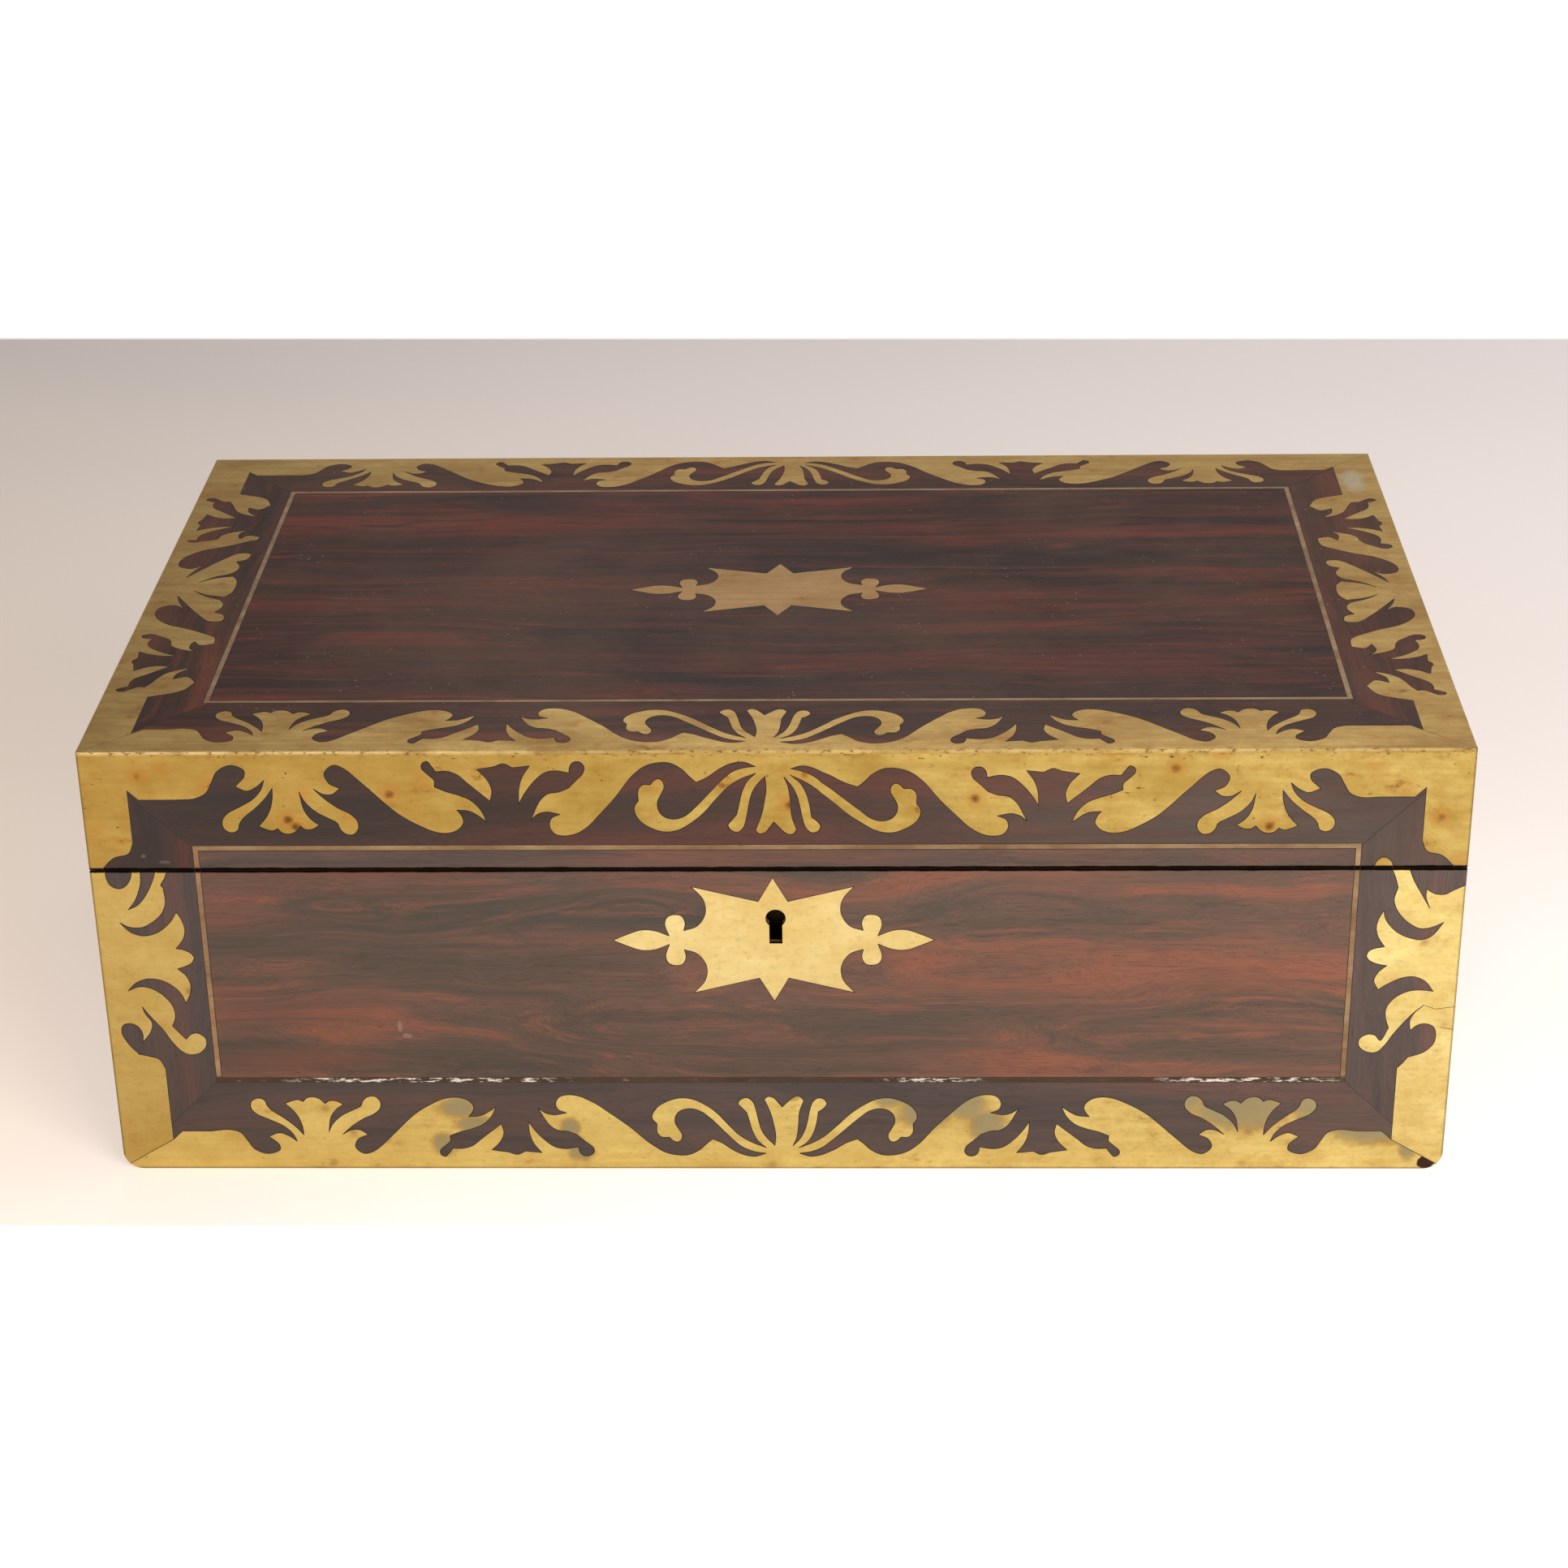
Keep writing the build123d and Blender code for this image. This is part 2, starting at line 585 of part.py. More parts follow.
def rectangle(inset):
    """The stringing's rectangle on the top, drawn in by the inset."""
    x = half_width - string_side_inset - inset
    y0 = string_front_inset - half_depth + inset
    y1 = half_depth - string_back_inset - inset
    return [(-x, y0), (x, y0), (x, y1), (-x, y1)]


top_band = top_front_line + top_right_line[::-1][1:] + top_back_line[::-1][1:] + top_left_line[1:-1]
name_plate = plate_outline(name_plate_x, 0)
top_field = plate(top, rectangle(string_width), name_plate)
pieces["top_veneer"] = plate(top, top_band, rectangle(0)) + top_field
pieces["top_stringing"] = plate(top, rectangle(0), rectangle(string_width))
pieces["name_plate"] = plate(top, name_plate)

# ---- keyhole plate and lock -----------------------------------------------------------------
lock_front = -inner_y - lock_thickness
cavity_front = lock_front + lock_wall
cavity_back = -inner_y - lock_wall
cavity_middle = (cavity_front + cavity_back) / 2
keyhole_place = Pos(0, -half_depth - veneer, keyhole_z) * Rot(-90, 0, 0)
keyhole = bar(keyhole_place, keyhole_radius, cavity_middle + half_depth + veneer, keyhole_sides, bore=True)
slot_x = keyhole_slot_width / 2
slot_z = (keyhole_z - keyhole_slot_length, keyhole_z)
keyhole += block(-slot_x, slot_x, -half_depth - veneer, cavity_middle, *slot_z)
eye_middle = staple_end + staple_eye_height / 2 - staple_drop  # height of the staples' eyes over the rim
staple_u = rim_u(cavity_middle, eye_middle)
staples = (-staple_x, staple_x)
rim_inner_u = rim_u(-inner_y, 0)
selvedge_u = (rim_inner_u - lock_wall, rim_inner_u + board - lock_wall)
lock_bottom = front_split - lock_height
behind_inner_face = block(-reach, reach, -half_depth, -inner_y, -reach, reach)
over_selvedge = rim * Pos(0, 0, reach / 2 - selvedge_thickness) * Box(reach, reach, reach)

selvedge = slab(-selvedge_half_length, selvedge_half_length, *selvedge_u, -selvedge_thickness, 0)
lock_body = block(-lock_half_length, lock_half_length, lock_front, -inner_y, lock_bottom, box_height)
cavity_x = lock_half_length - lock_wall
cavity = block(-cavity_x, cavity_x, cavity_front, cavity_back, lock_bottom + lock_wall, box_height)
lock_case = (lock_body - cavity - over_selvedge) + (selvedge & behind_inner_face)
half_slot = (staple_thickness / 2 + staple_clearance, staple_width / 2 + staple_clearance)
for x in staples:
    slot_u = (staple_u - half_slot[1], staple_u + half_slot[1])
    slot_w = (-2 * selvedge_thickness, selvedge_thickness)
    lock_case -= slab(x - half_slot[0], x + half_slot[0], *slot_u, *slot_w)
pieces["lock_case"] = lock_case - keyhole
pieces["keyhole_escutcheon"] = plate(front, plate_outline(0, escutcheon_z)) - keyhole
pieces["base_front_board"] = pieces["base_front_board"] - (lock_body - over_selvedge) - selvedge - keyhole

staple_foot = rim_z(cavity_middle, -staple_drop)
bar_top = staple_foot - bolt_bar_drop
nose_z = rim_z(cavity_middle, eye_middle)
nose_y = (cavity_middle - bolt_nose_width / 2, cavity_middle + bolt_nose_width / 2)
nose_tip = -staple_thickness / 2 - bolt_nose_gap
nose_heel = nose_tip - bolt_throw
nose_z0 = nose_z - bolt_nose_height / 2
nose_z1 = nose_z + bolt_nose_height / 2
bar_x = (nose_heel - bolt_post - bolt_tail - staple_x, staple_x)
bar_y = (cavity_front + bolt_clearance, cavity_back - bolt_clearance)
lock_bolt = block(*bar_x, *bar_y, bar_top - bolt_bar_height, bar_top)
for x in staples:
    lock_bolt += block(x + nose_heel - bolt_post, x + nose_heel, *nose_y, bar_top, nose_z1)
    lock_bolt += block(x + nose_heel, x + nose_tip, *nose_y, nose_z0, nose_z1)
pieces["lock_bolt"] = lock_bolt

link_w = (split_gap, split_gap + selvedge_thickness)
link_plate = slab(-selvedge_half_length, selvedge_half_length, *selvedge_u, *link_w)
pieces["lid_front_board"] = pieces["lid_front_board"] - link_plate
link_plate = link_plate & behind_inner_face
for x in staples:
    x_sides = (x - staple_thickness / 2, x + staple_thickness / 2)
    leg_u = (staple_u - staple_width / 2, staple_u + staple_width / 2)
    staple = slab(*x_sides, *leg_u, -staple_drop, split_gap)
    eye_u = (staple_u - staple_eye_width / 2, staple_u + staple_eye_width / 2)
    eye = slab(*x_sides, *eye_u, eye_middle - staple_eye_height / 2, eye_middle + staple_eye_height / 2)
    link_plate += staple - eye
pieces["lock_link_plate"] = link_plate

# ---- case hinges ----------------------------------------------------------------------------
axis_u = -hinge_setback
axis_w = split_gap / 2
notch_radius = hinge_barrel_radius + notch_clearance
leaf_start = axis_u + notch_radius
knuckle_half = hinge_length / 6


def hinge_rod(x0, x1, radius, bore=False):
    return rod(x0, x1, axis_u, axis_w, radius, hinge_sides, bore)


def hinge_pin(x0, x1):
    return rim * Pos((x0 + x1) / 2, -axis_u, axis_w) * Rot(0, 90, 0) * Cylinder(hinge_pin_radius, x1 - x0)


def hinge_leaf(x, w0, w1, knuckles):
    """One leaf with its own knuckles, each given by its two ends."""
    leaf = slab(x - hinge_length / 2, x + hinge_length / 2, leaf_start, hinge_leaf_reach, w0, w1)
    for x0, x1 in knuckles:
        leaf += slab(x0, x1, axis_u, leaf_start, w0, w1) + hinge_rod(x0, x1, hinge_barrel_radius)
    return leaf - hinge_rod(x - hinge_length, x + hinge_length, hinge_pin_radius + bore_clearance, bore=True)


base_leaves, lid_leaves, pins = [], [], []
for x in (-hinge_x, hinge_x):
    ends = (x - hinge_length / 2, x + hinge_length / 2)
    inner = knuckle_half - knuckle_gap / 2
    outer = knuckle_half + knuckle_gap / 2
    base_leaves.append(hinge_leaf(x, -hinge_leaf_thickness, 0, [(ends[0], x - outer), (x + outer, ends[1])]))
    lid_leaves.append(hinge_leaf(x, split_gap, split_gap + hinge_leaf_thickness, [(x - inner, x + inner)]))
    pins.append(hinge_pin(*ends))
    notch_w = (axis_w - notch_radius, axis_w + notch_radius)
    notch = slab(ends[0] - knuckle_gap, ends[1] + knuckle_gap, -hinge_leaf_reach, leaf_start, *notch_w)
    base_rebate = slab(*ends, 0, hinge_leaf_reach, -hinge_leaf_thickness, split_gap)
    lid_rebate = slab(*ends, 0, hinge_leaf_reach, 0, split_gap + hinge_leaf_thickness)
    for name in ("base_back_board", "base_back_veneer"):
        pieces[name] = pieces[name] - notch - base_rebate
    for name in ("lid_back_board", "lid_back_veneer"):
        pieces[name] = pieces[name] - notch - lid_rebate
pieces["base_hinge_leaves"] = Compound(base_leaves)
pieces["lid_hinge_leaves"] = Compound(lid_leaves)
pieces["hinge_pins"] = Compound(pins)

# ---- writing flaps: everything is set by its depth below the rim it is let into --------------
panel_top = surface_recess + leather_thickness
panel_bottom = panel_top + panel_thickness
ledge_top = panel_bottom + ledge_gap
ledge_bottom = ledge_top + ledge_height
flap_start = rail_end + flap_hinge_gap
flap_axis_u = rail_end + flap_hinge_gap / 2
partition_front = -inner_y + pen_section_width
partition_back = partition_front + partition
flap_x = inner_x - flap_side_gap


class Half:
    """One half of the case: the way into its woodwork, and how far its flap reaches."""

    def __init__(self, name, rim_w, inward, flap_end):
        self.name = name
        self.rim_w = rim_w
        self.inward = inward
        self.flap_end = flap_end

    def w(self, depth):
        return self.rim_w + self.inward * depth

    def layer(self, x0, x1, u0, u1, depth0, depth1):
        return slab(x0, x1, u0, u1, *sorted((self.w(depth0), self.w(depth1))))

    def bar(self, x0, x1, radius, bore=False):
        """A round bar along the flap's hinge axis."""
        return rod(x0, x1, flap_axis_u, self.w(flap_axis_depth), radius, small_sides, bore)


front_rail_start = rim_u(-inner_y, 0) - front_rail_width
base_half = Half("base", 0, -1, rim_u(partition_back, -panel_bottom) - flap_end_gap)
lid_half = Half("lid", split_gap, 1, front_rail_start - flap_end_gap)


def flap_hinge(half, x):
    """Fixed leaf with its pin, moving leaf, and the room they need in the wood."""
    end = flap_hinge_length / 2
    mid = end / 3 + knuckle_gap
    tab_depth = flap_axis_depth + flap_barrel_radius + notch_clearance
    leaf_bottom = flap_axis_depth + flap_leaf_height
    fixed_u = (rail_end, rail_end + flap_leaf_thickness)
    moving_u = (flap_start - flap_leaf_thickness, flap_start)
    fixed = half.layer(x - end, x + end, *fixed_u, tab_depth, leaf_bottom)
    for x0, x1 in ((x - end, x - mid), (x + mid, x + end)):
        fixed += half.layer(x0, x1, *fixed_u, flap_axis_depth, tab_depth)
        fixed += half.bar(x0, x1, flap_barrel_radius)
    fixed += half.bar(x - mid, x + mid, flap_pin_radius)
    moving = half.layer(x - end, x + end, *moving_u, tab_depth, leaf_bottom)
    x0, x1 = x - mid + knuckle_gap, x + mid - knuckle_gap
    moving += half.layer(x0, x1, *moving_u, flap_axis_depth, tab_depth)
    moving += half.bar(x0, x1, flap_barrel_radius)
    moving -= half.bar(x - end, x + end, flap_pin_radius + bore_clearance, bore=True)
    room = flap_barrel_radius + notch_clearance
    notch_u = (flap_axis_u - room, flap_axis_u + room)
    notch = half.layer(x - end - room, x + end + room, *notch_u, 0, tab_depth)
    return fixed, moving, notch


def flap(half, rail_start):
    """Rail, panel, leather and hinges of one writing flap."""
    rail = half.layer(-inner_x, inner_x, rail_start, rail_end, surface_recess, panel_bottom)
    panel = half.layer(-flap_x, flap_x, flap_start, half.flap_end, panel_top, panel_bottom)
    leather = half.layer(-flap_x, flap_x, flap_start, half.flap_end, surface_recess, panel_top)
    fixed, moving = [], []
    for x in (-flap_hinge_x, flap_hinge_x):
        fixed_leaf, moving_leaf, notch = flap_hinge(half, x)
        fixed.append(fixed_leaf)
        moving.append(moving_leaf)
        rail, panel, leather = rail - notch, panel - notch, leather - notch
    pieces[half.name + "_flap_panel"] = panel
    pieces[half.name + "_flap_leather"] = leather
    pieces[half.name + "_flap_hinge_fixed_leaves"] = Compound(fixed)
    pieces[half.name + "_flap_hinge_moving_leaves"] = Compound(moving)
    return rail


def side_ledge(half, u0, u1):
    return half.layer(inner_x - ledge_width, inner_x, u0, u1, ledge_top, ledge_bottom)


ledge_x = inner_x - ledge_width
base_rail_start = rim_u(inner_y, 0)
base_ledge_end = rim_u(partition_back, -ledge_bottom)
base_ledge = side_ledge(base_half, base_rail_start, base_ledge_end)
base_end_ledge = base_half.layer(
    -ledge_x, ledge_x, base_ledge_end - ledge_width, base_ledge_end, ledge_top, ledge_bottom
)
base_rail = flap(base_half, base_rail_start)
pieces["base_flap_ledges"] = Compound([base_rail, base_ledge, mirror(base_ledge, Plane.YZ), base_end_ledge])

lid_ledge_start = rim_u(inner_y, split_gap + ledge_bottom)
lid_ledge = side_ledge(lid_half, lid_ledge_start, rim_inner_u)
lid_end_ledge = lid_half.layer(
    -ledge_x, ledge_x, front_rail_start - ledge_width, rim_inner_u, ledge_top, ledge_bottom
)
lid_rail = flap(lid_half, rim_u(inner_y, split_gap + panel_bottom))
pieces["lid_flap_ledges"] = Compound([lid_rail, lid_ledge, mirror(lid_ledge, Plane.YZ), lid_end_ledge])

# ---- turn button that keeps the lid's flap shut: it lies on the rail, free of the flap ---------
catch_u = front_rail_start + catch_inset
catch_foot = surface_recess - catch_clearance
catch_depths = (catch_foot - catch_thickness, catch_foot)


def across_rail(radius, depth0, depth1, sides, bore=False):
    """A round piece through the lid's front rail at the turn button's pivot."""
    place = rim * Pos(0, -catch_u, lid_half.w(depth0))
    return bar(place, radius, depth1 - depth0, sides, bore)


catch_edges = (catch_u - catch_half_width, catch_u + catch_half_width)
catch_bar = lid_half.layer(-catch_half_length, catch_half_length, *catch_edges, *catch_depths)
catch = catch_bar & across_rail(catch_half_length, *catch_depths, catch_sides)
pin_end = catch_foot + catch_pin_length
pieces["lid_flap_catch"] = catch + across_rail(catch_pin_radius, catch_foot, pin_end, small_sides)
bore_end = pin_end + catch_clearance
catch_bore = across_rail(catch_pin_radius + bore_clearance, catch_foot, bore_end, small_sides, bore=True)
front_rail = lid_half.layer(-inner_x, inner_x, front_rail_start, rim_inner_u, surface_recess, panel_bottom)
pieces["lid_front_rail"] = front_rail - catch_bore

# ---- pen section ----------------------------------------------------------------------------
over_woodwork = rim * Pos(0, 0, reach / 2 - surface_recess) * Box(reach, reach, reach)
pieces["pen_partition"] = (
    block(-inner_x, inner_x, partition_front, partition_back, bottom_board, box_height) - over_woodwork
)
well_x = inner_x - well_length
well_wall_x = well_x - well_partition
bottle_x = inner_x - well_length / 2
bottle_y = (-inner_y + partition_front) / 2
cap_top = rim_z(bottle_y) - cap_drop
neck_top = cap_top - cap_crown - cap_clearance
shoulder = neck_top - bottle_neck_height
shelf_top = shoulder - bottle_body_height
pen_top = rim_z(partition_front) - partition_drop
well_wall = block(well_wall_x, well_x, -inner_y, partition_front, bottom_board, pen_top)
pieces["ink_well_partitions"] = Compound([well_wall, mirror(well_wall, Plane.YZ)])
tray_top = rim_z(partition_front) - tray_drop
tray_bottom = tray_top - tray_thickness
shelf = block(well_x, inner_x, -inner_y, partition_front, shelf_top - shelf_thickness, shelf_top)
bearer_x = well_wall_x - bearer
tray_bearer = block(bearer_x, well_wall_x, -inner_y, partition_front, tray_bottom - bearer, tray_bottom)
bearers = [shelf, mirror(shelf, Plane.YZ), tray_bearer, mirror(tray_bearer, Plane.YZ)]
pieces["pen_section_bearers"] = Compound(bearers)

tray_x = well_wall_x - tray_clearance
tray_y = (-inner_y + tray_clearance, partition_front - tray_clearance)
tray = block(-tray_x, tray_x, *tray_y, tray_bottom, tray_top)
trough_z = tray_top - trough_depth + trough_radius
trough = Pos(0, bottle_y, trough_z) * Rot(0, 90, 0) * Cylinder(trough_radius, 2 * (tray_x - trough_end))
pieces["pen_tray"] = tray - trough

# ---- ink bottles ----------------------------------------------------------------------------
def turned_piece(x, radius, z0, z1, bore=False):
    return bar(Pos(x, bottle_y, z0), radius, z1 - z0, bottle_sides, bore)


def ink_bottle(x):
    half = bottle_width / 2
    glass = block(x - half, x + half, bottle_y - half, bottle_y + half, shelf_top, shoulder)
    glass = chamfer(glass.edges().filter_by(Axis.Z), bottle_chamfer)
    glass += turned_piece(x, bottle_neck_radius, shoulder, neck_top)
    return glass - turned_piece(x, bottle_bore_radius, shelf_top + bottle_floor, neck_top, bore=True)


def ink_cap(x):
    foot = shoulder + cap_foot_gap
    inside = turned_piece(x, bottle_neck_radius + cap_clearance, foot, neck_top + cap_clearance, bore=True)
    return turned_piece(x, cap_radius, foot, cap_top) - inside


pieces["ink_bottles"] = Compound([ink_bottle(-bottle_x), ink_bottle(bottle_x)])
pieces["ink_cap_left"] = ink_cap(-bottle_x)
pieces["ink_cap_right"] = ink_cap(bottle_x)

os.makedirs("parts", exist_ok=True)
for name, piece in pieces.items():
    export_step(piece, f"parts/{name}.step")
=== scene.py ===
import bpy
import bmesh
import math
from mathutils import Matrix, Vector


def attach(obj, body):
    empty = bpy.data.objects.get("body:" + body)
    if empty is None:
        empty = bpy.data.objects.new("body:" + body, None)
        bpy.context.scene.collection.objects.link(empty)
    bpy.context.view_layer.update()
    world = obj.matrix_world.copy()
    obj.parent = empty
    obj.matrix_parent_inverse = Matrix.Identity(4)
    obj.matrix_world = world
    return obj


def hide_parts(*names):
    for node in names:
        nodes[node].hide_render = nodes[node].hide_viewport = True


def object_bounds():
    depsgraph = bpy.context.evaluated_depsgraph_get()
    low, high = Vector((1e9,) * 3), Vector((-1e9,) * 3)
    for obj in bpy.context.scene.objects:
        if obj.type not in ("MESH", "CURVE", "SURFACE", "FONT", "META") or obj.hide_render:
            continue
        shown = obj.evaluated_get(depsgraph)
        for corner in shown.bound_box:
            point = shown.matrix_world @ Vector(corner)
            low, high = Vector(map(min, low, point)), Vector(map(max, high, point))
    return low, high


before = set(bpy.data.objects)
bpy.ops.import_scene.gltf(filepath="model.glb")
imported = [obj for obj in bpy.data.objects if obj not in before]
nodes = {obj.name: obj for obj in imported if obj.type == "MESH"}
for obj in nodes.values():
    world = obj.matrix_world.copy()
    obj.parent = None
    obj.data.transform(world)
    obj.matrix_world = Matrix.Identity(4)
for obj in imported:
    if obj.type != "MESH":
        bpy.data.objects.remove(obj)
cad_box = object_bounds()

# Lengths are in millimetres until a mesh is made; mm turns them into metres.
mm = 0.001
scene = bpy.context.scene

# ---- the case, as in the frame ----------------------------------------------------------------
half_width = round(cad_box[1][0] / mm, 3)
half_depth = 118.0
box_height = round(cad_box[1][2] / mm, 3)
front_split = 104.0
back_split = 71.5
split_gap = 0.5
veneer = 1.2
worn_corner_radius = 6.0
split_slope = (front_split - back_split) / (2 * half_depth)
lid_rim_rise = split_gap / math.cos(math.atan(split_slope))

# ---- camera: the photograph's view --------------------------------------------------------------
picture_width = 1932
focal_pixels = 4111.98
camera_place = Vector((28.8, -983.4, 564.6)) * mm
yaw, pitch, roll = (math.radians(a) for a in (-1.699, 26.539, -0.915))
forward = Vector((math.sin(yaw) * math.cos(pitch), math.cos(yaw) * math.cos(pitch), -math.sin(pitch)))
level = Vector((math.cos(yaw), -math.sin(yaw), 0))
upward = level.cross(forward)
right = level * math.cos(roll) + upward * math.sin(roll)
up = upward * math.cos(roll) - level * math.sin(roll)
camera_data = bpy.data.cameras.new("camera")
camera_data.sensor_width = 36
camera_data.sensor_fit = "HORIZONTAL"
camera_data.lens = camera_data.sensor_width * focal_pixels / picture_width
camera_data.clip_end = 30
camera = bpy.data.objects.new("camera", camera_data)
scene.collection.objects.link(camera)
turn = Matrix((right, up, -forward)).transposed().to_4x4()
camera.matrix_world = Matrix.Translation(camera_place) @ turn
scene.camera = camera
scene.view_settings.view_transform = "Standard"


# ---- shader tools -------------------------------------------------------------------------------
def rgb(red, green, blue):
    """A colour given as it looks on a screen, 0 to 255, as the linear one that Blender takes."""
    def linear(c):
        c /= 255
        return c / 12.92 if c <= 0.04045 else ((c + 0.055) / 1.055) ** 2.4
    return (linear(red), linear(green), linear(blue), 1)


class Shader:
    """A material's node tree, with one short call for each kind of node."""

    def __init__(self, name, **sockets):
        self.material = bpy.data.materials.new(name)
        self.material.use_nodes = True
        self.tree = self.material.node_tree
        self.tree.nodes.clear()
        output = self.add("ShaderNodeOutputMaterial")
        self.bsdf = self.add("ShaderNodeBsdfPrincipled")
        self.tree.links.new(self.bsdf.outputs[0], output.inputs[0])
        for socket, value in sockets.items():
            self.feed(self.bsdf.inputs[socket.replace("_", " ")], value)
        self.place = self.scaled(self.add("ShaderNodeTexCoord").outputs["Object"], (1 / mm,) * 3)

    def add(self, kind, **properties):
        made = self.tree.nodes.new(kind)
        for key, value in properties.items():
            setattr(made, key, value)
        return made

    def feed(self, socket, value):
        if isinstance(value, bpy.types.NodeSocket):
            self.tree.links.new(value, socket)
        else:
            socket.default_value = value

    def math(self, operation, *values, clamp=False):
        made = self.add("ShaderNodeMath", operation=operation, use_clamp=clamp)
        for socket, value in zip(made.inputs, values):
            self.feed(socket, value)
        return made.outputs[0]

    def scaled(self, vector, scale, shift=(0, 0, 0)):
        made = self.add("ShaderNodeMapping")
        self.feed(made.inputs["Vector"], vector)
        made.inputs["Scale"].default_value = scale
        made.inputs["Location"].default_value = shift
        return made.outputs[0]

    def axes(self, vector=None):
        made = self.add("ShaderNodeSeparateXYZ")
        self.feed(made.inputs[0], vector or self.place)
        return made.outputs

    def vector(self, *values):
        made = self.add("ShaderNodeCombineXYZ")
        for socket, value in zip(made.inputs, values):
            self.feed(socket, value)
        return made.outputs[0]

    def noise(self, vector, scale=1.0, detail=2.0, roughness=0.5, distortion=0.0):
        made = self.add("ShaderNodeTexNoise")
        self.feed(made.inputs["Vector"], vector)
        made.inputs["Scale"].default_value = scale
        made.inputs["Detail"].default_value = detail
        made.inputs["Roughness"].default_value = roughness
        made.inputs["Distortion"].default_value = distortion
        return made.outputs["Fac"]

    def spots(self, vector, scale, size):
        """1 inside scattered round spots, falling to 0 at the size."""
        made = self.add("ShaderNodeTexVoronoi")
        self.feed(made.inputs["Vector"], vector)
        made.inputs["Scale"].default_value = scale
        return self.span(made.outputs["Distance"], size, size * 0.3)

    def ramp(self, value, *stops):
        made = self.add("ShaderNodeValToRGB")
        self.feed(made.inputs[0], value)
        band = made.color_ramp.elements
        while len(band) < len(stops):
            band.new(0.5)
        for element, (place, colour) in zip(band, stops):
            element.position = place
            element.color = colour
        return made.outputs[0]

    def span(self, value, start, end, low=0.0, high=1.0):
        """Low at the start and high at the end, and level beyond them."""
        made = self.add("ShaderNodeMapRange")
        for socket, number in zip(made.inputs, (value, start, end, low, high)):
            self.feed(socket, number)
        return made.outputs[0]

    def mix(self, share, a, b, blend="MIX"):
        made = self.add("ShaderNodeMix", data_type="RGBA", blend_type=blend)
        self.feed(made.inputs["Factor"], share)
        self.feed(made.inputs[6], a)
        self.feed(made.inputs[7], b)
        return made.outputs[2]

    def split_shade(self, colour):
        """The colour with painted shade along the line where the two halves of the case meet: near black, with less
        sheen.
        """
        x, y, z = self.axes()
        split = self.math("ADD", self.math("MULTIPLY", y, -split_slope), (front_split + back_split + split_gap) / 2)
        beside = self.math("ABSOLUTE", self.math("SUBTRACT", z, split))
        ragged = self.noise(self.scaled(self.place, (0.2, 0.2, 0.2)), detail=4)
        reach = self.span(self.math("SUBTRACT", beside, self.math("MULTIPLY", ragged, 0.5)), 0.38, 0.8, 1.0, 0.0)
        out = self.span(self.math("ABSOLUTE", x), half_width - 0.6, half_width - 0.3)
        out = self.math("MAXIMUM", out, self.span(self.math("ABSOLUTE", y), half_depth - 0.6, half_depth - 0.3))
        split_shade_share = self.math("MULTIPLY", reach, out)
        level = self.bsdf.inputs["Specular IOR Level"]
        self.feed(level, self.math("MULTIPLY", self.math("SUBTRACT", 1.0, split_shade_share), level.default_value))
        return self.mix(split_shade_share, colour, rgb(12, 9, 7))

    def bump(self, height, depth):
        """Relief of that depth, in millimetres, where the height is 0 to 1."""
        made = self.add("ShaderNodeBump")
        made.inputs["Strength"].default_value = 1.0
        made.inputs["Distance"].default_value = depth * mm
        self.feed(made.inputs["Height"], height)
        self.feed(self.bsdf.inputs["Normal"], made.outputs[0])
        return made.outputs[0]


# ---- wood ---------------------------------------------------------------------------------------
def along_grain(s, way):
    """The place with its first axis along the grain, which runs along x, y or z."""
    x, y, z = s.axes()
    return {"x": s.vector(x, y, z), "y": s.vector(y, x, z), "z": s.vector(z, x, y)}[way]


